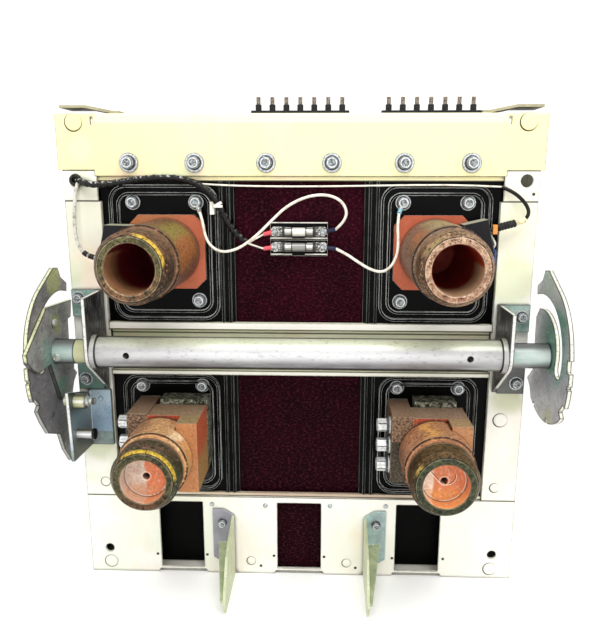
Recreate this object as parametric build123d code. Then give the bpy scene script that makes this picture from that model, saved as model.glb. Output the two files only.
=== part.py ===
from build123d import *
import math
import os

os.makedirs("parts", exist_ok=True)

# Draw-out DC circuit breaker, modelled from its contact side. Sizes are in millimetres.
# Every piece is drawn with x = 0 on the breaker's middle, y = 0 on the outer face of the
# contact side (y grows into the breaker), and z = 0 on the floor that it stands on.
# The last step moves all pieces so that the origin is under the middle of the body.

# Frame
body_depth = 400.0
sheet = 3.0
post_outer = 285.0
rail_half_width = post_outer + 5.0
rail_top = 605.0
rail_end_bottom = 539.6
rail_mid_bottom = 532.6
rail_notch_x = post_outer - 39.0
rail_depth = 45.0
rail_bend = 7.0
rail_slit_width = 3.0
rail_slit_height = 10.0
lip_bottom = 526.7
post_width = 44.0
post_return = 40.0
gusset_bottom = 503.0
gusset_hole_r = 7.5
gusset_hole_x = post_outer - 15.0
gusset_hole_z = 527.5
side_front_top = rail_top - 13.0
side_step_y = 300.0

# Chassis
chassis_top = 114.0
sill_height = 5.0
window_width = 59.0
window_pitch = 159.0
window_bottom = 8.0
window_top = 106.0
window_corner = 1.5
window_foot_flare = 5.0
recess_depth = 23.0
chassis_hole_r = 6.0
chassis_hole_x = post_outer - 25.5
chassis_hole_z = 35.0

# Cross channel behind the racking tube
channel_bottom = 284.0
channel_top = 352.4
channel_lip_top = 9.6
channel_lip_bottom = 6.3
channel_web_y = 14.0

# Pole barriers and the board between them
barrier_face = 7.0
barrier_thickness = 18.0
board_half_width = 79.0
board_face = 12.0
board_thickness = 6.0
rib_height = 5.0
rib_width = 3.0
bezel_width = 125.0
bezel_wider = 8.0
bezel_shift = 1.2
bezel_corner = 20.0
bezel_step = 9.0
inner_ring_height = 3.0
seat_bolt_x = 39.0
seat_bolt_z = 60.7

# Contacts
pole_x = 164.5
upper_z = 440.8
lower_z = 207.0
contact_front = 147.4
left_upper_longer = 5.0
barrel_r = 41.5
groove_r = 38.0
groove_back = 108.0
groove_front = 116.0
collar_front = 138.0
collar_r = 38.5
nose_r = 32.6
nose_bore_r = 26.0
nose_edge = 1.6
flange_width = 93.5
flange_shift = 1.8
flange_height = 91.0
flange_chamfer = 12.0
flange_proud = 4.0
bore_bottom = 8.0
recess_r = 25.0
recess_bottom = 16.0
centre_hole_r = 4.0
centre_hole_depth = 6.0
clamp_width = 65.0
clamp_height = 87.0
clamp_back = 19.0
clamp_front = 84.0
clamp_step = 41.0
stub_back = 7.0
stub_rise = 6.5
stub_inset = 3.0
stub_shift = 4.0
bar_width = 25.2
bar_front = 58.0
bar_set_back = 10.0
bar_step_z = 13.0
bar_shift = 3.9

# Racking shaft and cams
shaft_y = -45.0
shaft_z = 326.0
tube_r = 19.0
tube_end_ring_r = 22.0
tube_end_ring = 6.0
stub_r = 15.0
stub_end = 2.0
cross_hole_r = 3.8
cross_hole_x = post_outer - 84.0
running_gap = 0.06
side_gap = 0.5
cam_inner = post_outer + 11.0
cam_thickness = 5.0
cam_r = 80.0
slot_width = 20.0
slot_start_r = 33.0
slot_growth = 42.0
slot_power = 2.2
slot_start_deg = 195.0
slot_sweep_deg = 147.0
cam_notches = ((176.0, 0.83, 14.0, 7.0), (196.0, 0.87, 4.0, 3.0), (222.0, 0.98, 17.0, 9.0),
               (262.0, 1.0, 6.0, 5.0), (297.0, 1.04, 5.0, 4.0))
cam_tail = ((-0.66, -0.72), (-0.54, -0.93), (-0.36, -1.18), (0.03, -1.35), (0.16, -1.66), (0.38, -1.95),
            (0.50, -1.90), (0.62, -1.30), (0.50, -0.85))
tail_hole = (-0.18, -0.95)
tail_hole_r = 2.4
tail_from_deg = 250.0
lever_thickness = 5.0
lever_pin_r = 5.0

# Bearing and interlock brackets
bracket_x = post_outer - 40.0
bracket_thickness = 5.0
bracket_reach = 66.0
bracket_bottom = 265.0
bracket_top_left = 394.5
bracket_top_right = 379.0
bracket_tab = 34.0
tab_thickness = 5.0
interlock_x = post_outer - 10.0
interlock_leg = 32.0
interlock_thickness = 4.0
interlock_bottom = 188.3
interlock_top = 264.0
interlock_reach = 70.0
roller_r = 9.5
roller_z = 264.5
lower_pin_r = 6.0
lower_pin_z = 222.0
stud_y = -50.0
stud_r = 4.0

# Shutter ramps
ramp_x = 87.0
ramp_thickness = 3.0
ramp_plate_width = 29.0
ramp_plate_top = 97.0
ramp_plate_bottom = 23.0
ramp_reach = 97.0
ramp_tip_z = 20.0

# Secondary contacts
pin_count = 7
pin_pitch = 16.5
pin_row_x = (1.3, 154.9)
pin_r = 2.4
sleeve_r = 3.6
pin_top = rail_top + 18.5
sleeve_top = rail_top + 10.0
strip_height = 3.0
strip_y = 11.0
strip_width = 14.0

# Fuses, sensors and leads
fuse_half_width = 35.0
fuse_bottom = 437.0
fuse_top = 478.0
fuse_base_height = 9.0
fuse_pitch = 18.5
fuse_r = 5.2
fuse_length = 36.0
sensor_front = 22.0
sensor_room = 2.0
right_sensor_corners = ((29.5, 36.2), (57.5, 42.7), (68.0, -0.8), (39.5, -7.8))
left_sensor_corners = ((-35.1, 34.1), (-67.1, 34.8), (-76.0, -3.8), (-43.5, -9.8))
lead_r = 1.7
thin_r = 1.1
harness_r = 4.0
sleeve_lead_r = 2.2
lug_r = 6.0
lug_thickness = 2.0

# Unseen body
housing_back = 330.0
housing_top = rail_top - 85.0
housing_side_gap = 4.0
chute_width = 136.0
chute_front = 70.0
chute_back = 320.0
chute_top = rail_top - 7.0
chute_slots = 9
chute_slot_width = 8.0
chute_slot_depth = 14.0
mechanism_half_width = 72.0
mechanism_front = 60.0
mechanism_top = rail_top - 45.0
front_top = rail_top - 5.0
cover_half_width = 120.0
cover_bottom = 150.0
cover_top = 500.0
cover_height = 18.0

post_inner = post_outer - post_width
barrier_back = barrier_face + barrier_thickness
channel_half = post_inner - side_gap


def block(x, y, z):
    """Box between the two values given for each of x, y and z."""
    size = [abs(b - a) for a, b in (x, y, z)]
    middle = [(a + b) / 2 for a, b in (x, y, z)]
    return Pos(*middle) * Box(*size)


def facing(y, x=0.0, z=0.0):
    """Plane at depth y that faces the contact side: sketch x is x, sketch y is z."""
    return Plane(origin=(x, y, z), x_dir=(1, 0, 0), z_dir=(0, -1, 0))


def across(x):
    """Plane at x that faces +x: sketch x is y, sketch y is z."""
    return Plane(origin=(x, 0, 0), x_dir=(0, 1, 0), z_dir=(1, 0, 0))


def outline(plane, points, depth):
    """Prism on a plane from the corners of its outline."""
    face = make_face(Polyline(*points, close=True))
    return extrude(plane * face, depth)


def rod(start, end, radius):
    """Round bar between two points."""
    a = Vector(*start)
    b = Vector(*end)
    plane = Plane(origin=a, z_dir=(b - a).normalized())
    return extrude(plane * Circle(radius), (b - a).length)


def mirrored(shape):
    """The same shape on the other side of the middle plane."""
    return mirror(shape, about=Plane.YZ)


def fuse(shapes):
    """One shape from several that touch or overlap."""
    whole = shapes[0]
    for shape in shapes[1:]:
        whole = whole + shape
    return whole


# Frame of folded and welded steel sheet

def top_rail():
    """Channel across the top, cut back at its two lower corners, with a rounded top edge."""
    half = rail_half_width
    notch = rail_notch_x
    face = outline(facing(sheet), [(-half, rail_end_bottom), (-notch, rail_end_bottom),
                                   (-notch, rail_mid_bottom), (notch, rail_mid_bottom),
                                   (notch, rail_end_bottom), (half, rail_end_bottom),
                                   (half, rail_top), (-half, rail_top)], sheet)
    top = block((-half, half), (sheet, rail_depth), (rail_top - sheet, rail_top))
    low = block((-notch, notch), (sheet, rail_depth), (rail_mid_bottom, rail_mid_bottom + sheet))
    end = block((half - sheet, half), (sheet, rail_depth), (rail_end_bottom, rail_top))
    rail = fuse([face, top, low, end, mirrored(end)])
    edge = rail.edges().filter_by(Axis.X).sort_by(lambda e: e.center().Z - e.center().Y)[-1]
    rail = fillet(edge, min(rail_bend, sheet * 0.9))
    slit = block((notch - rail_slit_width / 2, notch + rail_slit_width / 2), (-1, sheet + 1),
                 (rail_top - sheet - rail_slit_height, rail_top - sheet - 1))
    return rail - slit - mirrored(slit)


def rail_lip():
    """Flat strip under the rail, in front of the pole barriers."""
    half = post_inner + sheet
    return block((-half, half), (sheet, barrier_face), (lip_bottom, rail_mid_bottom))


def corner_gusset():
    """Corner plate between post and rail, with its side return and its round hole."""
    inner = post_inner + sheet
    face = outline(facing(sheet), [(inner, gusset_bottom), (post_outer, gusset_bottom),
                                   (post_outer, rail_end_bottom), (rail_notch_x, rail_end_bottom),
                                   (rail_notch_x, rail_mid_bottom), (inner, rail_mid_bottom)], sheet)
    side = block((post_outer - sheet, post_outer), (sheet, post_return), (gusset_bottom, rail_end_bottom))
    hole = rod((gusset_hole_x, -1, gusset_hole_z), (gusset_hole_x, sheet + 1, gusset_hole_z), gusset_hole_r)
    return face + side - hole


def post():
    """Folded post: a face, an outer return, and an inner return that holds the barrier."""
    z = (chassis_top, gusset_bottom)
    face = block((post_inner, post_outer), (0, sheet), z)
    outer = block((post_outer - sheet, post_outer), (sheet, post_return), z)
    inner = block((post_inner, post_inner + sheet), (sheet, barrier_face), (chassis_top + sill_height, gusset_bottom))
    return fuse([face, outer, inner])


def cross_channel():
    """Lipped channel between the posts, open towards the racking tube."""
    z0 = channel_bottom
    z1 = channel_top
    web = channel_web_y
    section = [(0, z0), (barrier_face, z0), (barrier_face, z0 + sheet / 2), (web, z0 + sheet / 2),
               (web, z1 - sheet / 2), (barrier_face, z1 - sheet / 2), (barrier_face, z1), (0, z1),
               (0, z1 - channel_lip_top), (sheet, z1 - channel_lip_top), (sheet, z1 - sheet),
               (web - sheet, z1 - sheet), (web - sheet, z0 + sheet), (sheet, z0 + sheet),
               (sheet, z0 + channel_lip_bottom), (0, z0 + channel_lip_bottom)]
    return outline(across(-channel_half), section, 2 * channel_half)


def window_centres():
    """Middles of the three chassis windows."""
    return [-window_pitch, 0.0, window_pitch]


def chassis_rear():
    """Base panel with three windows that flare at their feet, a top ledge and side returns."""
    panel = block((-post_outer, post_outer), (0, sheet), (0, chassis_top))
    ledge = block((-post_outer, post_outer), (sheet, post_return), (chassis_top - sheet, chassis_top))
    side = block((post_outer - sheet, post_outer), (sheet, post_return), (0, chassis_top - sheet))
    panel = fuse([panel, ledge, side, mirrored(side)])
    half = window_width / 2
    for x in window_centres():
        opening = Pos(x, (window_bottom + window_top) / 2) * RectangleRounded(
            window_width, window_top - window_bottom, window_corner)
        foot = outline(facing(sheet + 1), [(x - half - window_foot_flare, 0), (x + half + window_foot_flare, 0),
                                           (x + half, window_bottom), (x - half, window_bottom)], sheet + 2)
        panel = panel - extrude(facing(sheet + 1) * opening, sheet + 2)
        lip = block((x - half - window_foot_flare, x + half + window_foot_flare), (0, sheet), (-1, window_bottom - sheet))
        panel = panel - (foot & lip)
    for x in (-chassis_hole_x, chassis_hole_x):
        panel = panel - rod((x, -1, chassis_hole_z), (x, sheet + 1, chassis_hole_z), chassis_hole_r)
    return panel


def chassis_floor():
    """Floor pan that the whole breaker stands on."""
    half = post_outer - sheet
    return block((-half, half), (sheet, body_depth - sheet), (0, sheet))


def sill_strip():
    """Strip on the chassis ledge, under the lower barrier openings."""
    return block((-post_inner, post_inner), (sheet, barrier_face), (chassis_top, chassis_top + sill_height))


def side_plate():
    """Side sheet behind the post, lower at the rear than at the front."""
    back = body_depth - sheet
    corners = [(post_return, sheet), (back, sheet), (back, side_front_top),
               (side_step_y, side_front_top), (post_return * 3, rail_end_bottom), (post_return, rail_end_bottom)]
    return outline(across(post_outer - sheet), corners, sheet)


def front_panel():
    """Plain front sheet with folded side edges."""
    back = body_depth
    return block((-post_outer, post_outer), (back - sheet, back), (0, front_top))


def front_cover():
    """Shallow pressed cover in the middle of the front sheet."""
    width = 2 * cover_half_width
    height = cover_top - cover_bottom
    middle = (cover_top + cover_bottom) / 2
    plane = Plane(origin=(0, body_depth, middle), x_dir=(1, 0, 0), z_dir=(0, 1, 0))
    cover = extrude(plane * RectangleRounded(width, height, bezel_corner), cover_height)
    rim = cover.faces().sort_by(Axis.Y)[-1].edges()
    return chamfer(rim, cover_height / 3)


def lifting_ear():
    """Ear on the rail's top corner, bent up by the hook that lifts the breaker."""
    rise = 9.5
    outer = post_outer
    inner = outer - 71.0
    section = [(inner, rail_top), (inner + 8, rail_top), (outer - 30, rail_top + rise - sheet),
               (outer, rail_top + rise - sheet), (outer, rail_top + rise), (outer - 31, rail_top + rise),
               (inner + 7, rail_top + sheet), (inner, rail_top + sheet)]
    return outline(facing(rail_depth), section, rail_depth - 4)


# Insulation

def ring(plane, width, height, corner, wall, depth):
    """Rounded rectangular rib."""
    band = RectangleRounded(width, height, corner)
    band = band - RectangleRounded(width - 2 * wall, height - 2 * wall, corner - wall)
    return extrude(plane * band, depth)


def pole_barrier(bar_x):
    """Moulded barrier of the right pole, with framed contact seats, ribs and a bus bar slot at bar_x."""
    inner = board_half_width + side_gap
    outer = post_inner + 10
    top = rail_mid_bottom
    plate = block((inner, outer), (barrier_face, barrier_back), (chassis_top, top))
    channel = block((inner, outer), (barrier_face - 1, channel_web_y), (channel_bottom + sheet / 2, channel_top - sheet / 2))
    plate = plate - channel
    flange = facing(barrier_back + 1, pole_x - flange_shift, upper_z) * flange_sketch()
    plate = plate - extrude(flange, barrier_thickness + 2)
    bar_room = block((bar_x - bar_width / 2, bar_x + bar_width / 2), (barrier_face - rib_height - 1, barrier_back + 1),
                     (lower_z - clamp_height / 2, lower_z + clamp_height / 2 + 1.5))
    pieces = [plate]
    spans = ((channel_top, lip_bottom, 4.5, bezel_width + bezel_wider),
             (chassis_top + sill_height, channel_bottom, 1.5, bezel_width))
    for low, high, gap, width in spans:
        height = high - gap - low - rib_width
        plane = facing(barrier_face, pole_x + bezel_shift, low + rib_width + height / 2)
        pieces.append(ring(plane, width, height, bezel_corner, rib_width, rib_height))
        pieces.append(ring(plane, width - 2 * bezel_step, height - 2 * bezel_step,
                           bezel_corner - bezel_step / 2, rib_width, inner_ring_height))
        for x in (inner + 5, inner + 14):
            pieces.append(block((x, x + rib_width), (barrier_face - rib_height, barrier_face), (low, high)))
    return fuse(pieces) - bar_room


def centre_board():
    """Speckled insulating board between the poles, from the floor up to the rail."""
    half = board_half_width
    board = block((-half, half), (board_face, board_face + board_thickness), (sheet, rail_mid_bottom))
    channel = block((-half, half), (board_face - 1, channel_web_y), (channel_bottom, channel_top))
    ledge = block((-half, half), (board_face - 1, post_return), (chassis_top - sheet, chassis_top))
    return board - channel - ledge


def lower_board():
    """Black board that closes the chassis behind its outer windows."""
    inner = board_half_width + side_gap
    return block((inner, post_inner), (recess_depth, recess_depth + sheet), (sheet, chassis_top - sheet))


def pole_housing():
    """Closed moulded case of one pole, with stiffening ribs on its outer side."""
    inner = board_half_width + side_gap + 2
    outer = post_outer - sheet - housing_side_gap
    case = block((inner, outer), (barrier_back, housing_back), (chassis_top, housing_top))
    case = case - block((outer - 8, outer + 1), (barrier_back - 1, post_return), (chassis_top - 1, housing_top + 1))
    long_edges = case.edges().filter_by(Axis.Z).sort_by(Axis.Y)[-2:]
    case = fillet(long_edges, 10)
    ribs = [block((outer, outer + housing_side_gap), (post_return + 4, housing_back - 20), (z, z + 6))
            for z in range(160, 500, 80)]
    return fuse([case] + ribs)


def arc_chute():
    """Arc chute of one pole: a box with a row of splitter slots in its top."""
    x0 = pole_x - chute_width / 2
    x1 = pole_x + chute_width / 2
    chute = block((x0, x1), (chute_front, chute_back), (housing_top, chute_top))
    chute = fillet(chute.edges().filter_by(Axis.Z), 6)
    pitch = (chute_back - chute_front - 30) / chute_slots
    for i in range(chute_slots):
        y = chute_front + 15 + pitch * (i + 0.5)
        chute = chute - block((x0 + 12, x1 - 12), (y - chute_slot_width / 2, y + chute_slot_width / 2),
                              (chute_top - chute_slot_depth, chute_top + 1))
    return chute


def mechanism_housing():
    """Closed steel box of the operating mechanism, between the poles."""
    half = mechanism_half_width
    return block((-half, half), (mechanism_front, body_depth - sheet), (sheet, mechanism_top))


# Current path

def flange_sketch():
    """Square flange of the upper contact with its corners cut off."""
    x = flange_width / 2
    z = flange_height / 2
    c = flange_chamfer
    return make_face(Polyline((-x, -z + c), (-x + c, -z), (x - c, -z), (x, -z + c), (x, z - c),
                              (x - c, z), (-x + c, z), (-x, z - c), close=True))


def turned(profile):
    """Solid of revolution about y from (radius, y) corners."""
    face = make_face(Polyline(*profile, close=True))
    return revolve(face, Axis.Y)


def barrel(back, bore_r, bottom, longer=0.0):
    """Turned contact end: groove, collar, chamfer and a round hollow that ends at bottom."""
    front = -contact_front - longer
    return turned([(0, back), (barrel_r, back), (barrel_r, -groove_back), (groove_r, -groove_back - 1.5),
                   (groove_r, -groove_front + 1.5), (collar_r, -groove_front), (collar_r, -collar_front - longer),
                   (nose_r + nose_edge, front + nose_edge), (nose_r, front),
                   (bore_r + nose_edge, front), (bore_r, front + nose_edge), (bore_r, bottom), (0, bottom)])


def inward(x, shift):
    """The place x of a pole, moved by shift towards the breaker's middle."""
    return x - math.copysign(shift, x)


def upper_terminal(x, longer):
    """Hollow round contact on its chamfered flange."""
    tube = Pos(x, 0, upper_z) * barrel(barrier_face, nose_bore_r, bore_bottom - 2, longer)
    flange = facing(barrier_back, inward(x, flange_shift), upper_z) * flange_sketch()
    flange = extrude(flange, barrier_back - barrier_face + flange_proud)
    hollow = rod((x, -20, upper_z), (x, bore_bottom, upper_z), nose_bore_r)
    return tube + flange - hollow


def lower_bar_x(x):
    """Middle of the bus bar of the pole at x."""
    return inward(x, bar_shift) - clamp_width / 2 - 1.0


def lower_terminal(x):
    """Clamp block with its rear stub and a short round contact end that has a recess and a centre hole."""
    x0 = lower_bar_x(x) + bar_width / 2
    x1 = x0 + clamp_width
    z0 = lower_z - clamp_height / 2
    z1 = lower_z + clamp_height / 2
    clamp = block((x0, x1), (-bar_front, -clamp_back), (z0, z1))
    cheek = block((x0 + clamp_step, x1), (-clamp_front, -bar_front), (z0, z1))
    stub = block((x0 + 6, inward(x1, stub_shift) - stub_inset), (-clamp_back, stub_back), (z0 + 2, z1 + stub_rise))
    nose = Pos(x, 0, lower_z) * barrel(-bar_front, recess_r, -contact_front + recess_bottom)
    dimple = rod((x, -contact_front + recess_bottom - 1, lower_z),
                 (x, -contact_front + recess_bottom + centre_hole_depth, lower_z), centre_hole_r)
    return fuse([clamp, cheek, stub, nose]) - dimple


def lower_bus_bar(x):
    """Bus bar that comes through the barrier beside the clamp block."""
    middle = lower_bar_x(x)
    wide = (middle - bar_width / 2, middle + bar_width / 2)
    top = lower_z + clamp_height / 2 + 1.5
    step = lower_z + bar_step_z
    upper = block(wide, (-bar_front, barrier_back), (step, top))
    lower = block(wide, (-bar_front + bar_set_back, barrier_back), (lower_z - clamp_height / 2, step))
    return upper + lower


# Racking shaft with its cams

def racking_tube():
    """Tube between the brackets, with end rings and turned-down stub shafts to the cams."""
    end = cam_inner + cam_thickness + stub_end
    ring_out = bracket_x - side_gap
    ring_in = ring_out - tube_end_ring
    tube = fuse([rod((-ring_in, shaft_y, shaft_z), (ring_in, shaft_y, shaft_z), tube_r),
                 rod((-ring_out, shaft_y, shaft_z), (-ring_in, shaft_y, shaft_z), tube_end_ring_r),
                 rod((ring_in, shaft_y, shaft_z), (ring_out, shaft_y, shaft_z), tube_end_ring_r),
                 rod((-end, shaft_y, shaft_z), (end, shaft_y, shaft_z), stub_r)])
    for x in (-cross_hole_x, cross_hole_x):
        tube = tube - rod((x, shaft_y - tube_r - 1, shaft_z), (x, shaft_y + tube_r + 1, shaft_z), cross_hole_r)
    return tube


def slot_point(share, offset):
    """Point on the spiral slot: share 0 is its closed end, 1 its mouth; offset is outwards."""
    radius = slot_start_r + slot_growth * share ** slot_power + offset
    angle = math.radians(slot_start_deg - slot_sweep_deg * share)
    return (radius * math.cos(angle), radius * math.sin(angle))


def slot_edge(offset, arcs=3, past=1.0):
    """One long side of the slot as tangent-like arcs through points of the spiral."""
    count = 2 * arcs
    points = [slot_point(past * i / count, offset) for i in range(count + 1)]
    return [ThreePointArc(points[2 * i], points[2 * i + 1], points[2 * i + 2]) for i in range(arcs)]


def cam_corners(shares):
    """Corners given as shares of the cam's radius, in millimetres about the shaft."""
    return [(cam_r * y, cam_r * z) for y, z in shares]


def cam_face():
    """Cam outline: a horn, a rim that runs along the slot and swells below, and a cut-away back."""
    rim = cam_corners([(-0.19, 1.00), (-0.53, 0.76), (-0.73, 0.46), (-0.83, 0.05), (-0.83, -0.28),
                       (-0.76, -0.56), (-0.58, -0.81), (-0.06, -1.01), (0.50, -0.92)])
    back = cam_corners([(0.50, -0.92), (0.62, -0.86), (0.71, -0.70), (0.86, -0.60), (0.58, -0.35), (0.64, 0.07),
                        (0.66, 0.45), (0.54, 0.59), (0.69, 0.80), (0.71, 0.93), (0.50, 1.05), (0.42, 1.21),
                        (0.27, 1.23), (-0.19, 1.00)])
    arcs = [ThreePointArc(rim[i], rim[i + 1], rim[i + 2]) for i in range(0, len(rim) - 2, 2)]
    return make_face(arcs + [Polyline(*back)])


def slot_face():
    """Spiral slot: round at its closed end, and opening wider past its mouth."""
    half = slot_width / 2
    outer = slot_edge(half)
    inner = slot_edge(-half)
    mouth_out = slot_point(1.35, half + 8)
    mouth_in = slot_point(1.35, -half - 12)
    edges = [Line(slot_point(0, -half), slot_point(0, half))] + outer
    edges.append(Line(slot_point(1, half), mouth_out))
    edges.append(Line(mouth_out, mouth_in))
    edges.append(Line(mouth_in, slot_point(1, -half)))
    edges += inner
    return make_face(edges)


def racking_cam(x0, tail):
    """Cam plate on the shaft's end, bored for the stub shaft, with or without the long lower tail."""
    face = cam_face()
    notches = cam_notches
    if tail:
        face = face + make_face(Polyline(*cam_corners(cam_tail), close=True))
        face = face - Pos(*cam_corners([tail_hole])[0]) * Circle(tail_hole_r)
        notches = [notch for notch in cam_notches if notch[0] < tail_from_deg]
    for angle, radius, width, depth in notches:
        face = face - Rot(0, 0, angle) * Pos(cam_r * radius, 0) * Rectangle(2 * depth, width)
    face = face - slot_face() - Pos(*slot_point(0, 0)) * Circle(slot_width / 2) - Circle(stub_r)
    plane = Plane(origin=(x0, shaft_y, shaft_z), x_dir=(0, 1, 0), z_dir=(1, 0, 0))
    return extrude(plane * face, cam_thickness)


def racking_lever():
    """Lever plate welded inside the left cam, with its spacer pin."""
    corners = cam_corners([(0.69, 0.66), (-0.22, 0.71), (-0.97, 0.20), (-0.95, 0.07), (-0.82, -0.05),
                           (-0.65, -0.16), (-0.50, -0.15), (-0.24, -0.14), (0.04, -0.75), (0.12, -0.82),
                           (0.55, -0.67), (0.62, -0.35), (0.28, -0.05), (0.20, 0.12), (0.32, 0.37), (0.62, 0.40)])
    plane = Plane(origin=(-cam_inner, shaft_y, shaft_z), x_dir=(0, 1, 0), z_dir=(1, 0, 0))
    face = make_face(Polyline(*corners, close=True)) - Circle(stub_r)
    plate = extrude(plane * face, lever_thickness)
    pin = rod((-cam_inner + lever_thickness, shaft_y - 3, shaft_z + 34),
              (-cam_inner + lever_thickness + 1.0, shaft_y - 3, shaft_z + 34), lever_pin_r)
    return plate + pin


# Brackets on the posts

def bearing_bracket(top):
    """Bearing plate of the right post: a rounded nose round the shaft and two bolted feet."""
    x0 = bracket_x
    x1 = bracket_x + bracket_thickness
    reach = -bracket_reach
    nose = Pos(shaft_y, shaft_z) * Circle(shaft_y - reach)
    web = make_face(Polyline((0, bracket_bottom), (0, top), (reach, top), (reach, shaft_z),
                             (shaft_y - 13, shaft_z - 16.4), close=True))
    bore = Pos(shaft_y, shaft_z) * Circle(stub_r + running_gap)
    plate = extrude(across(x0) * (web + nose - bore), bracket_thickness)
    upper = block((x1, post_outer - 1), (-tab_thickness, 0), (top - bracket_tab, top))
    lower = outline(facing(0), [(x1, bracket_bottom), (post_outer - 2, bracket_bottom),
                                (post_outer - 2, bracket_bottom + bracket_tab), (x1, bracket_bottom + bracket_tab + 12)],
                    tab_thickness)
    return fuse([plate, upper, lower])


def interlock_bracket():
    """Angle on the left post whose long leg stands out beside the cam."""
    x0 = -interlock_x
    x1 = x0 + interlock_leg
    leg = outline(facing(0), [(x0, interlock_bottom), (x1, interlock_bottom), (x1, interlock_top - 1),
                              (x1 - 1, interlock_top), (x0 + 6, interlock_top), (x0, interlock_top - 5)],
                  interlock_thickness)
    corners = [(0, interlock_bottom), (-interlock_reach + 4, interlock_bottom + 4),
               (-interlock_reach, roller_z + 17), (-interlock_thickness - 14, interlock_top + 2),
               (-interlock_thickness, interlock_top - 5), (0, interlock_top - 5)]
    flange = outline(across(x0), corners, interlock_thickness)
    return leg + flange


def interlock_studs():
    """Roller on its stud above, plain pin below, both across the angle's long leg."""
    inner = -interlock_x + interlock_thickness
    outer = -interlock_x
    roller = fuse([rod((inner, stud_y, roller_z), (inner + 13, stud_y, roller_z), roller_r),
                   rod((inner + 13, stud_y, roller_z), (inner + 21, stud_y, roller_z), stud_r)])
    roller_nut = rod((outer - 9, stud_y, roller_z), (outer, stud_y, roller_z), stud_r + 2)
    pin = fuse([rod((inner, stud_y, lower_pin_z), (inner + 19, stud_y, lower_pin_z), lower_pin_r),
                rod((inner + 19, stud_y, lower_pin_z), (inner + 22, stud_y, lower_pin_z), lower_pin_r + 1)])
    pin_head = rod((outer - 5, stud_y, lower_pin_z), (outer, stud_y, lower_pin_z), lower_pin_r)
    return Compound([roller, roller_nut, pin, pin_head])


def shutter_ramp():
    """Right ramp: a foot bolted to the chassis, an upright fin, and a tapered brace beside it."""
    x0 = ramp_x
    t = ramp_thickness
    x1 = x0 + ramp_plate_width
    foot = outline(facing(0), [(x0, ramp_plate_top - 9), (x0, 2), (x0 + t, 2), (x0 + t, ramp_plate_bottom - 2),
                               (x1 - 8, ramp_plate_bottom - 2), (x1, ramp_plate_bottom + 3),
                               (x1, ramp_plate_top), (x0 + 14, ramp_plate_top)], t)
    fin = outline(across(x0), [(-t, 2), (-t, ramp_plate_top - 9), (-41, 77), (-66, 66), (-ramp_reach, ramp_tip_z),
                               (-ramp_reach + 9, 3)], t)
    brace_base = facing(-t) * make_face(Polyline((x0 + t, 46), (x0 + t + 19, 46), (x0 + t + 19, 50),
                                                 (x0 + t, 50), close=True))
    brace_tip = facing(-ramp_reach + 4) * make_face(Polyline((x0 + t, ramp_tip_z), (x0 + t + 3.5, ramp_tip_z),
                                                             (x0 + t + 3.5, ramp_tip_z + 3),
                                                             (x0 + t, ramp_tip_z + 3), close=True))
    brace = loft([brace_base, brace_tip])
    return fuse([foot, fin, brace])


# Secondary contacts and small electrical pieces

def secondary_strip(middle):
    """Row of pins in a moulded strip on top of the rail."""
    half = pin_pitch * pin_count / 2
    y = (strip_y - strip_width / 2, strip_y + strip_width / 2)
    pieces = [block((middle - half, middle + half), y, (rail_top, rail_top + strip_height))]
    for i in range(pin_count):
        x = middle + pin_pitch * (i - (pin_count - 1) / 2)
        pieces.append(rod((x, strip_y, rail_top + strip_height), (x, strip_y, sleeve_top), sleeve_r))
        pieces.append(rod((x, strip_y, sleeve_top), (x, strip_y, pin_top), pin_r))
    return fuse(pieces)


def fuse_rows():
    """Heights of the two fuses."""
    middle = (fuse_bottom + fuse_top) / 2
    return [middle + fuse_pitch / 2, middle - fuse_pitch / 2]


def fuse_base():
    """Moulded base on the board with a barrier between the two fuses."""
    half = fuse_half_width
    front = board_face - fuse_base_height
    base = block((-half, half), (front, board_face), (fuse_bottom, fuse_top))
    middle = (fuse_bottom + fuse_top) / 2
    wall = block((-half, half), (front - 5, front), (middle - 1, middle + 1))
    return base + wall


def fuse_links():
    """Two fuses in their spring clips, as one piece each with the clips that carry them."""
    front = board_face - fuse_base_height
    pieces = []
    for z in fuse_rows():
        axis_y = front - fuse_r - 1.5
        body = rod((-fuse_length / 2, axis_y, z), (fuse_length / 2, axis_y, z), fuse_r)
        clips = [block((x - 4, x + 4), (axis_y, front), (z - fuse_r, z + fuse_r)) for x in (-14, 14)]
        plates = [block((x - 8, x + 8), (front - 1.5, front), (z - 6, z + 6)) for x in (-24, 24)]
        pieces.append(fuse([body] + clips + plates))
    return Compound(pieces)


def sensor(x, corners):
    """Moulded sensor block set askew beside the upper contact at x, hollowed to clear it."""
    back = barrier_face - rib_height
    body = outline(facing(back), [(x + dx, upper_z + dz) for dx, dz in corners], back + sensor_front)
    return body - rod((x, back + 1, upper_z), (x, -sensor_front - 1, upper_z), barrel_r + sensor_room)


def lug(ring_centre, seat_y, lead_end):
    """Ring terminal: a flat ring seated at seat_y and a crimped barrel up to the lead's end."""
    x, z = ring_centre
    ring_disc = rod((x, seat_y, z), (x, seat_y - lug_thickness, z), lug_r)
    crimp = rod(lead_end, (x, seat_y - lug_thickness / 2, z), lead_r + 0.9)
    behind = block((x - 60, x + 60), (seat_y, seat_y + 60), (z - 60, z + 60))
    return ring_disc + crimp - behind


def tube_path(points, label):
    """Straight runs joined by tangent arcs, each arc as large as its two runs allow."""
    vectors = [Vector(*p) for p in points]
    radii = []
    for before, here, after in zip(vectors, vectors[1:], vectors[2:]):
        turn = math.radians((here - before).get_angle(after - here))
        shorter = min((here - before).length, (after - here).length)
        radii.append(0.45 * shorter / math.tan(turn / 2))
    print(label, "radii", [round(r) for r in radii])
    return FilletPolyline(*points, radius=radii)


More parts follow.
